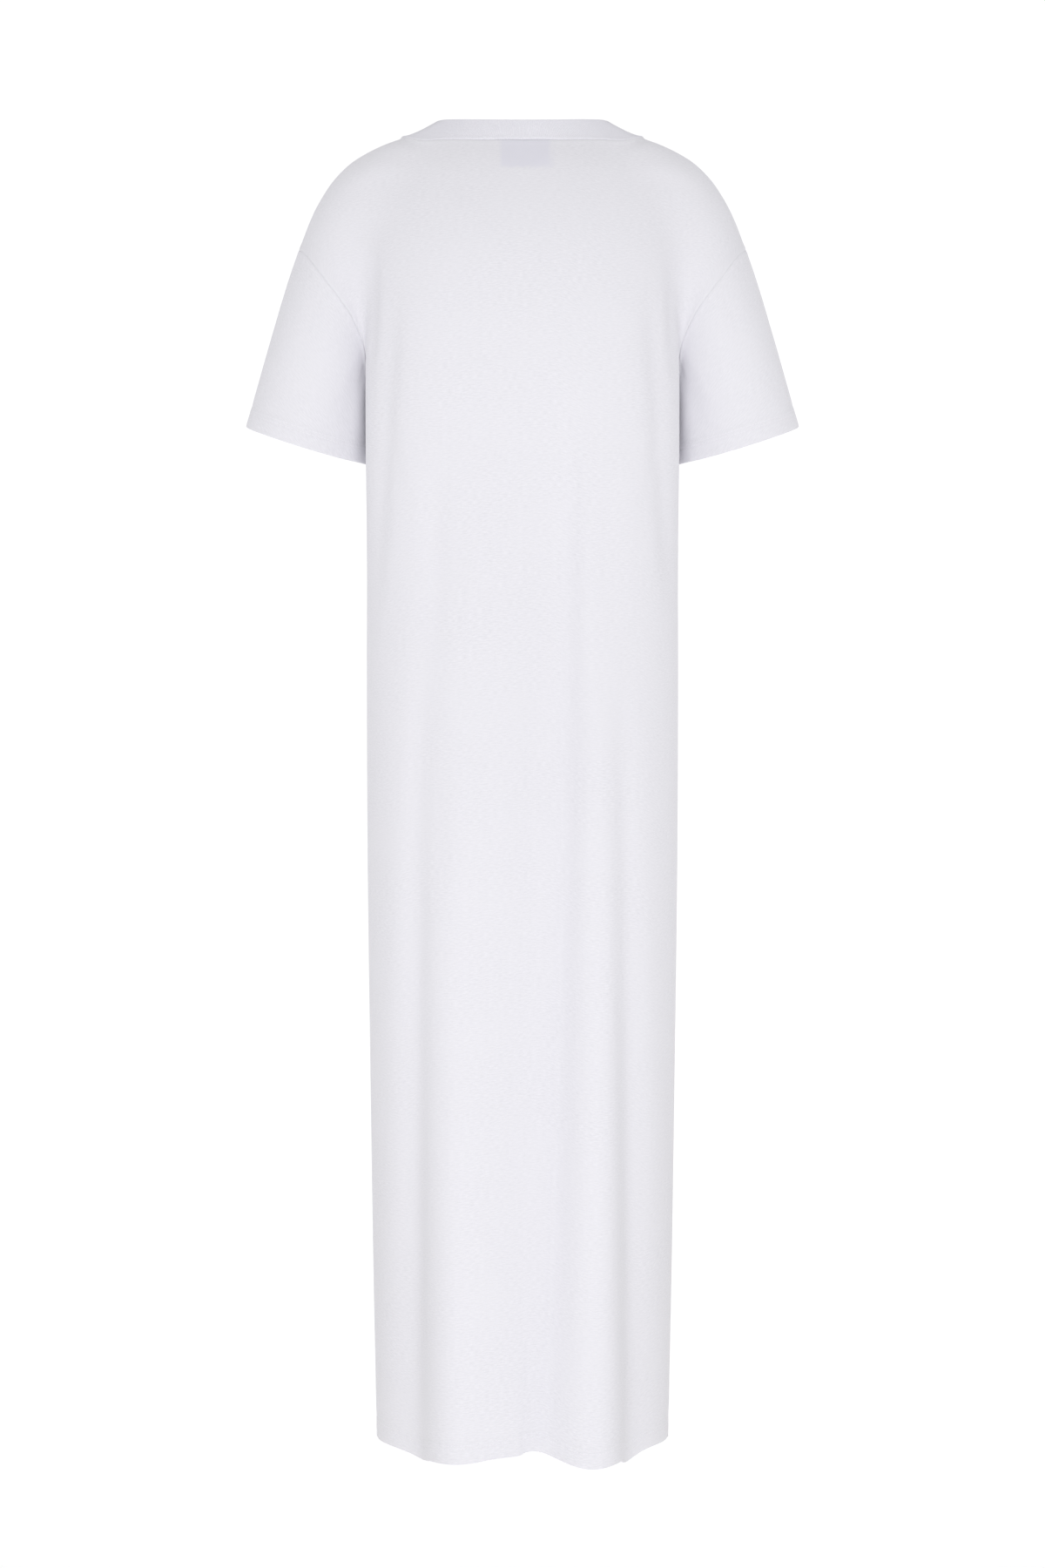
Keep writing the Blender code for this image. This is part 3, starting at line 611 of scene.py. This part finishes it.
def grid_normals(grid, closed=False):
    """The cloth's own outward direction at each point of a grid, from its neighbours."""
    if closed:
        across = np.roll(grid, -1, axis=1) - np.roll(grid, 1, axis=1)
    else:
        across = np.gradient(grid, axis=1)
    return unit(np.cross(across, np.gradient(grid, axis=0)))


def edge_columns(count, each, dense):
    """Fractional column numbers over count coarse columns, closer together at both ends."""
    inner = np.arange(1, count - 1 + 1 / (2 * each), 1 / each)
    return np.concatenate([dense, inner, count - dense[::-1]])


def fold_round(distance, thickness):
    """A half round at a folded edge: 0 at the fold, rising to 1 at half the cloth's thickness from it."""
    return np.sqrt(np.clip(1 - (1 - np.minimum(distance / (thickness / 2), 1)) ** 2, 0, 1))


def hem_relief(above):
    """The turned-up hem on the outside: it rolls in at the fold, the two needle lines pull the cloth
    in, and the single cloth above lies a little lower than the double cloth below."""
    rolled = HEM / 2 * (fold_round(above, HEM) - 1)
    lines = sum(NEEDLE_DIP * bump(above - line, NEEDLE_DIP_WIDTH) for line in NEEDLE_LINES)
    beyond = np.maximum(above - HEM_DEPTH, 0)
    step = HEM_STEP * ease(beyond / HEM_STEP_RISE) * bump(beyond, HEM_STEP_WIDTH)
    return rolled - lines - step


def hem_thickness(above):
    """Double cloth up to the hem's raw edge, then single, and closed by a half round at the fold."""
    fold = np.maximum(fold_round(above, HEM), FOLD_EDGE)
    return JERSEY + (HEM * fold - JERSEY) * (1 - ease((above - HEM_DEPTH) / RAW_EDGE))


def seam_relief(distance, ridge, dip):
    """Beside a sewn edge the cloth dips into the seam and its turned allowance makes a low ridge."""
    return ridge * bump(distance - RIDGE_BESIDE, RIDGE_WIDTH) - dip * bump(distance, DIP_WIDTH)


def panel(side):
    """The front or back as outer points, normals and thickness, rows from the hem up."""
    rise = np.arange(HEM_STEPS[-1] + BODY_STEP, YOKE_LEVEL - HEM_LEVEL - BODY_STEP / 2, BODY_STEP)
    above = np.concatenate([HEM_STEPS, rise])
    yoke_count = YOKE_SIDE_ROWS + ARMHOLE_ROWS
    yoke_rows = np.arange(0, yoke_count - 1 + 1 / (2 * YOKE_ROWS_EACH), 1 / YOKE_ROWS_EACH)
    yoke_rows = np.concatenate([yoke_rows, yoke_count - EDGE_SHARES[::-1]])
    body = np.stack([ring_half(side, HEM_LEVEL + h, HALF_COLUMNS) for h in above])
    half = np.concatenate([body, finer_rows(yoke(side), yoke_rows)])
    whole = np.concatenate([half[:, :0:-1] * [-1, 1, 1], half], axis=1)
    whole = finer_columns(whole, edge_columns(2 * HALF_COLUMNS, COLUMNS_EACH, EDGE_SHARES))
    folds, waves, creases = (
        (BACK_FOLDS, BACK_HEM, BACK_CREASES) if side == BACK else (FRONT_FOLDS, FRONT_HEM, FRONT_CREASES)
    )
    x, z = whole[..., 0].copy(), whole[..., 2].copy()
    whole = whole + grid_normals(whole) * (side * fold_depth(x, z, folds))[..., None]
    whole[..., 2] -= hem_drop(x, z, waves)
    from_hem = z - HEM_LEVEL
    from_top = run_along(whole[::-1])[::-1]
    across = run_along(whole, axis=1)
    from_side = np.minimum(across, across[:, -1:] - across)
    armhole = ease((z - UNDERARM_LEVEL) / ARMHOLE_RISE)
    relief = seam_relief(from_side, SIDE_SEAM.ridge + ARMHOLE_RIDGE * armhole, SIDE_SEAM.dip)
    relief += seam_relief(from_top, *TOP_SEAM)
    relief += hem_relief(from_hem) - crease_depth(x, z, creases)
    normals = grid_normals(whole) * -side
    whole = whole + normals * relief[..., None]
    return whole, grid_normals(whole) * -side, hem_thickness(from_hem)


def sleeve_crease_depth(turn, girth, from_cuff):
    """How far a sleeve's creases press its cloth in, where turn is the share of the way round it."""
    depth = np.zeros_like(from_cuff)
    for crease in SLEEVE_CREASES:
        t = np.clip((crease.high - from_cuff) / (crease.high - crease.low), 0, 1)
        middle = crease.turn_high + (crease.turn_low - crease.turn_high) * t
        depth += crease.depth * fade(t) * bump((turn - middle) * girth, crease.width)
    return depth


def sleeve_rings():
    """The right sleeve's coarse rings, blended from the armhole to the tilted oval of the cuff, settled on
    the arm and kept clear of the body."""
    back, front = armhole_line(BACK, ARMHOLE_ROWS), armhole_line(FRONT, ARMHOLE_ROWS)
    first = np.concatenate([back, front[-2:0:-1]])
    lean = np.radians(ARM_LEAN_DEG)
    turn = np.linspace(0, 2 * np.pi, 2 * ARMHOLE_ROWS, endpoint=False)
    end = ARM[-1]
    across = (end.outer + end.inner) / 2 - (end.outer - end.inner) / 2 * np.cos(turn)
    down = np.array([np.sin(lean), 0, -np.cos(lean)])
    out = np.array([np.cos(lean), 0, np.sin(lean)])
    last = np.array([ARM_TIP[0], end.forward, ARM_TIP[1]]) + down * CUFF_ALONG
    last = last + across[:, None] * out
    last[:, 1] -= end.half_depth * np.sin(turn)
    lift = end.half_depth * (1 - np.sin(turn)) * np.tan(np.radians(CUFF_TILT_DEG))
    last -= lift[:, None] * down
    shares = np.linspace(SECOND_RING, 1 - HEM_DEPTH / SLEEVE_MEAN_LENGTH, SLEEVE_ROWS)
    share = np.concatenate([[0, FIRST_RING], shares, [1]])[:, None, None]
    grid = (1 - share) * first + share * last
    grid[1:-1] = settle(grid[1:-1], gap=arm_gap)
    clearance = ARM_CLEARANCE * np.sqrt(np.minimum(share[1:, :, 0] / SECOND_RING, 1))
    grid[1:] += outward(grid[1:], torso_gap) * np.maximum(clearance - torso_gap(grid[1:]), 0)[..., None]
    return grid


def sleeve(side_x):
    """A sleeve as outer points, normals and thickness, rows of rings from the armhole to the cuff."""
    columns = np.arange(0, 2 * ARMHOLE_ROWS, 1 / SLEEVE_COLUMNS_EACH)
    grid = finer_columns(sleeve_rings(), columns, closed=True)
    run = run_along(grid)
    length = run[-1]
    from_cuff = HEM_STEPS[:, None] + length * 0
    seam_rows = SEAM_STEPS_BESIDE[:, None]
    upper = np.linspace(0, 1, SLEEVE_ROW_COUNT + 1)[1:, None]
    spread = HEM_STEPS[-1] + (length - HEM_STEPS[-1] - seam_rows[-1]) * upper
    from_cuff = np.concatenate([from_cuff, spread, length - seam_rows[-2::-1]])[::-1]
    at = length - from_cuff
    known = np.arange(len(run))
    rows = np.stack([np.interp(at[:, c], run[:, c], known) for c in range(run.shape[1])], axis=1)
    whole = finer_rows(grid, rows)
    normals = -grid_normals(whole, closed=True)
    turn = columns / (2 * ARMHOLE_ROWS)
    girth = run_along(whole, axis=1)[:, -1:]
    relief = hem_relief(from_cuff) + seam_relief(at, *SLEEVE_HEAD)
    relief += seam_relief(np.minimum(turn, 1 - turn) * girth, *UNDERARM_SEAM)
    relief -= sleeve_crease_depth(turn, girth, from_cuff)
    relief += PRESSED_OUT * bump((turn - PRESSED_TURN) * girth, PRESSED_WIDTH) * ease(at / PRESSED_BELOW)
    whole = whole + normals * relief[..., None]
    mirror = np.array([side_x, 1, 1])
    return whole * mirror, -grid_normals(whole, closed=True) * mirror, hem_thickness(from_cuff)


def dipped(grid, share):
    """The band's sides dip between its two edges, where it turns up from the shoulder."""
    dip = BAND_DIP * 4 * share * (1 - share) * (grid[..., :1] / NECK_HALF_WIDTH) ** 2
    return grid - grid_normals(grid, closed=True) * dip


def band_edges():
    """The neckband's two edges as coarse rings: its seam, and the fold above it."""
    count = NECK_COLUMNS
    back, front = neck_seam(BACK, count), neck_seam(FRONT, count)
    right = np.concatenate([back, front[-2::-1]])
    back_shape = (BAND_HALF_WIDTH, BAND_BACK_DEPTH, BAND_BACK_RISE, BAND_SIDE_RISE, BAND_BACK_CURVE)
    front_shape = (BAND_HALF_WIDTH, BAND_FRONT_DEPTH, -BAND_FRONT_DROP, BAND_SIDE_RISE, NECK_CURVE)
    top_back, top_front = neck_line(BACK, count, *back_shape), neck_line(FRONT, count, *front_shape)
    top = np.concatenate([top_back, top_front[-2::-1]])
    return np.stack([np.concatenate([line, line[-2:0:-1] * [-1, 1, 1]]) for line in (right, top)])


def neckband():
    """The neckband, rows of rings from the neck seam up to its folded top edge."""
    lines = band_edges()
    girth = run_along(np.append(lines[0], lines[0][:1], axis=0))[-1]
    ribs = int(round(girth / RIB_PITCH))
    columns = np.arange(ribs * RIB_SIDES) * (lines.shape[1] / (ribs * RIB_SIDES))
    lines = finer_columns(lines, columns, closed=True)
    height = np.linalg.norm(lines[1] - lines[0], axis=-1)
    from_top = BAND_ROWS_BELOW[::-1, None] / BAND_ROWS_BELOW[-1]
    share = (1 - from_top)[..., None]
    whole = dipped((1 - share) * lines[0] + share * lines[1], share)
    normals = grid_normals(whole, closed=True)
    below = from_top * height
    above = height - below
    ribbing = RIB_HEIGHT * np.cos(np.arange(len(columns)) * 2 * np.pi / RIB_SIDES)
    ribbing = ribbing * ease(below / RIB_FROM_FOLD) * ease(above / RIB_FROM_SEAM)
    crown = BAND_CROWN * np.sin(np.pi * from_top)
    crown = crown + BAND_RIDGE * bump(above - BAND_RIDGE_UP, BAND_RIDGE_WIDTH)
    rolled = RIB / 2 * (1 - fold_round(below, RIB))
    relief = crown + ribbing - rolled - BAND_SEAM_DIP * bump(above, BAND_SEAM_WIDTH)
    return whole + normals * relief[..., None], normals, RIB * np.maximum(fold_round(below, RIB), FOLD_EDGE)


def label():
    """The blank neck label inside the back: the worn form, moved in past the back's wall."""
    across = np.linspace(-1, 1, LABEL_COLUMNS)[None, :]
    top = -NECK_BACK_DROP - LABEL_BELOW_SEAM + LABEL_BOW * across**2
    z = top - LABEL_DROP * np.linspace(1, 0, LABEL_ROWS)[:, None]
    x = z * 0 + LABEL_MIDDLE + across * LABEL_WIDTH / 2
    grid = settle(np.stack([x, z * 0 - ROUGH_DEPTH, z], axis=-1), axes=STRAIGHT_IN)
    normals = unit(outward(grid))
    return grid - normals * (CAD_WALL + LABEL_GAP), normals, np.full(z.shape, TAPE)


def label_under(points):
    """How much of the label shows through the back at each point: 1 over it, down to 0 past its edges."""
    soft = 3 * MM
    beside = LABEL_WIDTH / 2 - np.abs(points[:, 0] - LABEL_MIDDLE)
    below = -NECK_BACK_DROP - LABEL_BELOW_SEAM - points[:, 2]
    inside = np.minimum(beside, LABEL_DROP - below)
    return ease(inside / soft + 0.5) * (points[:, 1] < 0)


def quads(rows, columns, closed):
    """The corner numbers of each square of a grid numbered row by row."""
    wide = columns if closed else columns - 1
    row, col = np.meshgrid(np.arange(rows - 1), np.arange(wide), indexing="ij")
    beside = (col + 1) % columns
    low, high = row * columns, (row + 1) * columns
    return np.stack([low + col, low + beside, high + beside, high + col], axis=-1).reshape(-1, 4)


def rim(rows, columns, closed):
    """The corner numbers round the open edges of a grid, as runs of neighbours."""
    first, last = np.arange(columns), np.arange(columns) + (rows - 1) * columns
    if closed:
        return [np.append(first, first[0]), np.append(last, last[0])[::-1]]
    left, right = np.arange(rows) * columns, np.arange(rows) * columns + columns - 1
    return [np.concatenate([first, right[1:], last[-2::-1], left[-2::-1]])]


def mesh_object(name, points, faces, cloth, uv=None, under=None):
    """A smooth-shaded mesh of quads. uv is the cloth's own flat place, in metres, at each corner of
    each face, and under is how much shows through at each point."""
    mesh = bpy.data.meshes.new(name)
    mesh.vertices.add(len(points))
    mesh.vertices.foreach_set("co", points.astype(np.float32).ravel())
    mesh.loops.add(faces.size)
    mesh.loops.foreach_set("vertex_index", faces.astype(np.int32).ravel())
    mesh.polygons.add(len(faces))
    mesh.polygons.foreach_set("loop_start", np.arange(0, faces.size, 4, dtype=np.int32))
    mesh.update(calc_edges=True)
    mesh.validate()
    if uv is not None:
        layer = mesh.uv_layers.new(name="flat")
        layer.data.foreach_set("uv", uv.astype(np.float32).ravel())
    if under is not None:
        shown = mesh.attributes.new("label_under", "FLOAT", "POINT")
        shown.data.foreach_set("value", under.astype(np.float32))
    mesh.materials.append(cloth)
    mesh.shade_smooth()
    made = bpy.data.objects.new(name, mesh)
    bpy.context.scene.collection.objects.link(made)
    return made


def volume_sign(points, faces):
    """Positive where the faces of a closed mesh point outwards."""
    a, b, c, d = (points[faces[:, k]] for k in range(4))
    return np.sign((np.cross(a - c, b - d) * (a + b + c + d)).sum())


def flat_corners(outer, faces, closed):
    """The cloth's own flat place at each corner of each face: its distances across from the middle
    column and up from the first row. Round a tube, the last faces reach on past the first column."""
    across, up = run_along(outer, axis=1), run_along(outer)
    rows, columns = across.shape
    place = np.stack([across - across[:, columns // 2, None], up], axis=-1).reshape(-1, 2)
    corner = faces % (rows * columns)
    uv = place[corner]
    if closed:
        girth = across[:, -1] + np.linalg.norm(outer[:, 0] - outer[:, -1], axis=-1)
        girth = np.repeat(girth, columns)[corner]
        behind = uv[..., 0].max(axis=1, keepdims=True) - uv[..., 0] > girth / 2
        uv[..., 0] += behind * girth
    return uv


def shell(name, shape, cloth, closed=False):
    """A closed shell of cloth: the outer points, the inner points its thickness in, and their rims."""
    outer, normals, thickness = shape
    inner = outer - normals * thickness[..., None]
    rows, columns = outer.shape[:2]
    count = rows * columns
    outside = quads(rows, columns, closed)
    faces = [outside, outside[:, ::-1] + count]
    for run in rim(rows, columns, closed):
        a, b = run[:-1], run[1:]
        faces.append(np.stack([b, a, a + count, b + count], axis=1))
    faces = np.concatenate(faces)
    points = np.concatenate([outer.reshape(-1, 3), inner.reshape(-1, 3)])
    if volume_sign(points, faces) < 0:
        faces = faces[:, ::-1]
    return mesh_object(name, points, faces, cloth, flat_corners(outer, faces, closed), label_under(points))


def beads(path, normals):
    """The points and faces of a row of stitches: each is a thin bead, half sunk in the cloth and
    dipping at both ends. Its ring at s, from -1 to 1, has the radius times nearly the root of 1 less
    s squared. Two squares close each of its six-sided ends."""
    run = run_along(path)
    count = int(run[-1] / STITCH_PITCH)
    at = (np.arange(count) + 0.5) * run[-1] / count
    s, sides = STITCH_RINGS, STITCH_SIDES
    centre = at_distances(at[:, None] + s * STITCH_LENGTH / 2, run, path)
    normal = unit(at_distances(at, run, normals))[:, None, None]
    tangent = unit(centre[:, -1] - centre[:, 0])[:, None, None]
    aside = unit(np.cross(tangent, normal))
    turn = np.linspace(0, 2 * np.pi, sides, endpoint=False)[:, None]
    radius = (STITCH_RADIUS * np.sqrt(1 - STITCH_TAPER * s**2))[:, None, None]
    lift = (STITCH_LIFT - STITCH_DIP * s**2)[:, None, None]
    points = centre[:, :, None] + normal * lift + radius * (normal * np.cos(turn) + aside * np.sin(turn))
    cap = np.array([[0, 1, 2, 3], [0, 3, 4, 5]])
    one = np.concatenate([quads(len(s), sides, True), cap, cap[:, ::-1] + sides * (len(s) - 1)])
    faces = one[None] + (np.arange(count) * len(s) * sides)[:, None, None]
    return points.reshape(-1, 3), faces.reshape(-1, 4)


def stitches(name, rows, thread):
    """Rows of stitches as one piece. Each row is a path and the cloth's normals along it."""
    made = [beads(path, normals) for path, normals in rows]
    starts = np.cumsum([0] + [len(points) for points, _ in made[:-1]])
    faces = np.concatenate([faces + start for (_, faces), start in zip(made, starts)])
    points = np.concatenate([points for points, _ in made])
    if volume_sign(points, faces) < 0:
        faces = faces[:, ::-1]
    return mesh_object(name, points, faces, thread)


def needle_rows(shape):
    """The two rows of a hemmed panel, counted from its hem, that the needle lines run along."""
    outer, normals, _ = shape
    return [(outer[row], normals[row]) for row in np.searchsorted(HEM_STEPS, NEEDLE_LINES)]


def cuff_needle_rows(shape):
    """The same rows of a sleeve, counted from its cuff and run right round it."""
    return needle_rows([np.concatenate([part, part[:, :1]], axis=1)[::-1] for part in shape[:2]] + [None])


def linear(code):
    """An sRGB hex colour as linear RGBA."""
    part = np.array([int(code[k : k + 2], 16) for k in (1, 3, 5)]) / 255
    value = np.where(part <= 0.04045, part / 12.92, ((part + 0.055) / 1.055) ** 2.4)
    return (*value.tolist(), 1.0)


def node(tree, kind, inputs=None, **settings):
    """Adds one node. Each input is a value, or the output socket that it is linked from."""
    made = tree.nodes.new(kind)
    for name, value in settings.items():
        setattr(made, name, value)
    for key, value in (inputs or {}).items():
        if isinstance(value, bpy.types.NodeSocket):
            tree.links.new(value, made.inputs[key])
        else:
            made.inputs[key].default_value = value
    return made


def new_material(name):
    """A new material with its node tree and its shader."""
    made = bpy.data.materials.new(name)
    made.use_nodes = True
    return made, made.node_tree, made.node_tree.nodes["Principled BSDF"]


def finish_material(tree, shader, height, strength, distance, **values):
    """Gives the shader its relief from a height, and its values by their names."""
    relief = node(tree, "ShaderNodeBump", {"Strength": strength, "Distance": distance, "Height": height})
    tree.links.new(relief.outputs[0], shader.inputs["Normal"])
    for name, value in values.items():
        shader.inputs[name.replace("_", " ")].default_value = value


def knit_height(tree, flat, wale, course):
    """Plain jersey's face: columns of Vs. The height is a hump across each leg of the V, cut by
    slanted valleys, one for each course."""
    place = node(tree, "ShaderNodeVectorMath", {0: flat, 1: (1 / wale, 1 / course, 1)}, operation="MULTIPLY")
    parts = node(tree, "ShaderNodeSeparateXYZ", {0: place.outputs[0]})
    leg = node(tree, "ShaderNodeMath", {0: parts.outputs["X"], 1: 0.5}, operation="PINGPONG")
    turn = node(tree, "ShaderNodeMath", {0: leg.outputs[0], 1: 2 * np.pi}, operation="MULTIPLY")
    hump = node(tree, "ShaderNodeMath", {0: turn.outputs[0]}, operation="SINE")
    slant = node(
        tree, "ShaderNodeMath",
        {0: leg.outputs[0], 1: KNIT_SLANT, 2: parts.outputs["Y"]}, operation="MULTIPLY_ADD",
    )
    tooth = node(tree, "ShaderNodeMath", {0: slant.outputs[0], 1: 0.5}, operation="PINGPONG")
    round_tooth = node(tree, "ShaderNodeMath", {0: tooth.outputs[0], 1: 0.5}, operation="POWER")
    return node(
        tree, "ShaderNodeMath", {0: hump.outputs[0], 1: round_tooth.outputs[0]}, operation="MULTIPLY"
    ).outputs[0]


def jersey_material():
    """White combed-cotton single jersey, bleached and softened, soft and even to the eye. Its loops are
    drawn 1 mm wide, about a third wider than the real ones, so that they show. Thick and thin places in
    the yarn make short level streaks, drawn 5 mm long, stronger and weaker in patches of 70 mm. The
    label shows through as a greyer patch."""
    made, tree, shader = new_material("white_cotton_jersey")
    flat = node(tree, "ShaderNodeUVMap", uv_map="flat").outputs[0]
    place = node(tree, "ShaderNodeTexCoord").outputs["Object"]
    streaks = (1 / (5 * MM), 1 / (1.2 * MM), 1)
    stretched = node(tree, "ShaderNodeVectorMath", {0: flat, 1: streaks}, operation="MULTIPLY")
    streak = node(tree, "ShaderNodeTexNoise", {"Vector": stretched.outputs[0], "Scale": 1.0, "Detail": 2.0})
    cloud = node(tree, "ShaderNodeTexNoise", {"Vector": place, "Scale": 1 / (70 * MM), "Detail": 2.0})
    yarn = node(
        tree, "ShaderNodeMix",
        {0: streak.outputs["Fac"], 6: linear("#D4D3D9"), 7: linear("#F8F7FC")}, data_type="RGBA",
    )
    worn = node(
        tree, "ShaderNodeMix",
        {0: cloud.outputs["Fac"], 6: yarn.outputs[2], 7: linear("#E9E8ED")}, data_type="RGBA",
    )
    under = node(tree, "ShaderNodeAttribute", attribute_name="label_under")
    shown = node(
        tree, "ShaderNodeMix",
        {0: under.outputs["Fac"], 6: worn.outputs[2], 7: linear("#E2E1EA")}, data_type="RGBA",
    )
    tree.links.new(shown.outputs[2], shader.inputs["Base Color"])
    height = knit_height(tree, flat, 1.0 * MM, 0.8 * MM)
    uneven = node(
        tree, "ShaderNodeMath",
        {0: streak.outputs["Fac"], 1: YARN_RELIEF, 2: height}, operation="MULTIPLY_ADD",
    )
    finish_material(tree, shader, uneven.outputs[0], 0.4, 0.15 * MM, **COTTON)
    return made


def rib_material():
    """White cotton 1x1 rib, softly fuzzy: the ribs are in the mesh, their loops are 0.6 mm high, and
    their yarn is uneven every 1.7 mm."""
    made, tree, shader = new_material("white_cotton_rib")
    flat = node(tree, "ShaderNodeUVMap", uv_map="flat").outputs[0]
    place = node(tree, "ShaderNodeTexCoord").outputs["Object"]
    yarn = node(tree, "ShaderNodeTexNoise", {"Vector": place, "Scale": 1 / (1.7 * MM), "Detail": 2.0})
    tone = node(
        tree, "ShaderNodeMix",
        {0: yarn.outputs["Fac"], 6: linear("#E5E4EB"), 7: linear("#F1F0F6")}, data_type="RGBA",
    )
    tree.links.new(tone.outputs[2], shader.inputs["Base Color"])
    finish_material(tree, shader, knit_height(tree, flat, 0.9 * MM, 0.6 * MM), 0.35, 0.15 * MM, **COTTON)
    return made


def thread_material():
    """White core-spun polyester sewing thread, slightly smoother than the cotton, its twist 0.33 mm."""
    made, tree, shader = new_material("white_sewing_thread")
    place = node(tree, "ShaderNodeTexCoord").outputs["Object"]
    twist = node(tree, "ShaderNodeTexNoise", {"Vector": place, "Scale": 1 / (0.33 * MM)})
    shader.inputs["Base Color"].default_value = linear("#F1F0F5")
    finish_material(tree, shader, twist.outputs["Fac"], 0.3, 0.05 * MM, Roughness=0.6)
    return made


def tape_material():
    """Pale grey-blue woven label tape: a fine polyester satin with threads across it, 0.35 mm apart. A
    wave texture repeats at each tenth of pi."""
    made, tree, shader = new_material("blank_label_tape")
    flat = node(tree, "ShaderNodeUVMap", uv_map="flat").outputs[0]
    threads = np.pi / 10 / (0.35 * MM)
    weave = node(tree, "ShaderNodeTexWave", {"Vector": flat, "Scale": threads}, bands_direction="Y")
    shader.inputs["Base Color"].default_value = linear("#CDD1DE")
    finish_material(tree, shader, weave.outputs["Fac"], 0.3, 0.05 * MM, Roughness=0.5)
    return made


def floor_material():
    """A plain pale painted floor, very slightly uneven every 33 mm, lifted to white by a faint glow."""
    made, tree, shader = new_material("pale_floor")
    place = node(tree, "ShaderNodeTexCoord").outputs["Object"]
    grain = node(tree, "ShaderNodeTexNoise", {"Vector": place, "Scale": 1 / (33 * MM)})
    shader.inputs["Base Color"].default_value = linear("#FBFBFC")
    shader.inputs["Emission Color"].default_value = linear("#FFFFFF")
    finish_material(tree, shader, grain.outputs["Fac"], 0.05, 1 * MM, Roughness=0.8, Emission_Strength=0.30)
    return made


def flag_material():
    """Matt warm grey felt on a studio flag, which takes light from the skirt's sides."""
    made, tree, shader = new_material("warm_grey_felt")
    place = node(tree, "ShaderNodeTexCoord").outputs["Object"]
    fluff = node(tree, "ShaderNodeTexNoise", {"Vector": place, "Scale": 1 / (2.5 * MM)})
    shader.inputs["Base Color"].default_value = linear("#A8A392")
    finish_material(tree, shader, fluff.outputs["Fac"], 0.3, 0.5 * MM, Roughness=1.0)
    return made


def camera():
    """A level camera behind the dress, 2.8 m from its middle, with 1.62 m in the frame's height."""
    distance, height, frame_height, sensor = 2.8, -0.6696, 1.62, 36.0
    data = bpy.data.cameras.new("camera")
    data.sensor_fit = "VERTICAL"
    data.sensor_height = sensor
    data.lens = sensor * distance / frame_height
    made = bpy.data.objects.new("camera", data)
    made.location = (0, -distance, height)
    made.rotation_euler = (np.pi / 2, 0, 0)
    bpy.context.scene.collection.objects.link(made)
    bpy.context.scene.camera = made


def soft_light(light):
    """A large square area light turned to face its aim."""
    data = bpy.data.lights.new(light.name, "AREA")
    data.size = light.size
    data.energy = light.power
    made = bpy.data.objects.new(light.name, data)
    made.location = light.place
    toward = unit(np.array(light.aim) - np.array(light.place))
    made.rotation_euler = (np.arccos(-toward[2]), 0, np.arctan2(-toward[0], toward[1]))
    bpy.context.scene.collection.objects.link(made)


def sweep():
    """A pale floor that curves up, by a quarter of a circle, into a backdrop."""
    across = np.array([-FLOOR_REACH, FLOOR_REACH])
    turn = np.linspace(0, np.pi / 2, 24)
    y = SWEEP_FROM + SWEEP_RADIUS * np.sin(turn)
    z = SWEEP_RADIUS * (1 - np.cos(turn))
    y = np.concatenate([[-FLOOR_REACH], y, y[-1:]])
    z = FLOOR_LEVEL + np.concatenate([[0], z, [FLOOR_REACH]])
    points = np.stack(np.broadcast_arrays(across[None, :], y[:, None], z[:, None]), -1).reshape(-1, 3)
    mesh_object("floor", points, quads(len(y), 2, False), floor_material())


def flags():
    """Two low flags beside the skirt, which the camera doesn't see, take light from its sides."""
    felt = flag_material()
    for side, x in (("left", -FLAG_ASIDE), ("right", FLAG_ASIDE)):
        y, z = np.meshgrid([-FLAG_HALF_WIDTH, FLAG_HALF_WIDTH], FLAG_HEIGHTS)
        corners = np.stack([y.ravel() * 0 + x, y.ravel(), z.ravel()], axis=1)
        flag = mesh_object(f"{side}_flag", corners, quads(2, 2, False), felt)
        flag.visible_camera = False


def studio():
    """A soft white surround. Two large lights stand at hip height on either side of the camera, one
    hangs above, and two weaker ones fill the sides."""
    sweep()
    world = bpy.data.worlds.new("studio")
    world.use_nodes = True
    world.node_tree.nodes["Background"].inputs["Color"].default_value = linear("#FFFFFF")
    world.node_tree.nodes["Background"].inputs["Strength"].default_value = SURROUND
    bpy.context.scene.world = world
    bpy.context.scene.view_settings.view_transform = "Standard"
    for light in LIGHTS:
        soft_light(light)
    flags()


def place_piece(piece):
    """Makes a piece part of the dress's one body."""
    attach(piece, "root")


def cloth_piece(name, shape, cloth, closed=False, trim=()):
    """Makes a piece of cloth in place of its CAD node."""
    piece = shell(f"{name}_cloth", shape, cloth, closed)
    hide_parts(name)
    place_piece(piece)
    for sewn in trim:
        place_piece(sewn)


def dress():
    """Makes each piece of the dress, with the stitching of its hem."""
    jersey, rib, thread, tape = jersey_material(), rib_material(), thread_material(), tape_material()
    for name, side in (("back_panel", BACK), ("front_panel", FRONT)):
        shape = panel(side)
        hem = stitches(f"{name}_hem_stitches", needle_rows(shape), thread)
        cloth_piece(name, shape, jersey, trim=[hem])
    for name, side_x in (("right_sleeve", 1), ("left_sleeve", -1)):
        shape = sleeve(side_x)
        hem = stitches(f"{name}_hem_stitches", cuff_needle_rows(shape), thread)
        cloth_piece(name, shape, jersey, closed=True, trim=[hem])
    cloth_piece("neckband", neckband(), rib, closed=True)
    cloth_piece("neck_label", label(), tape)


camera()
studio()
dress()
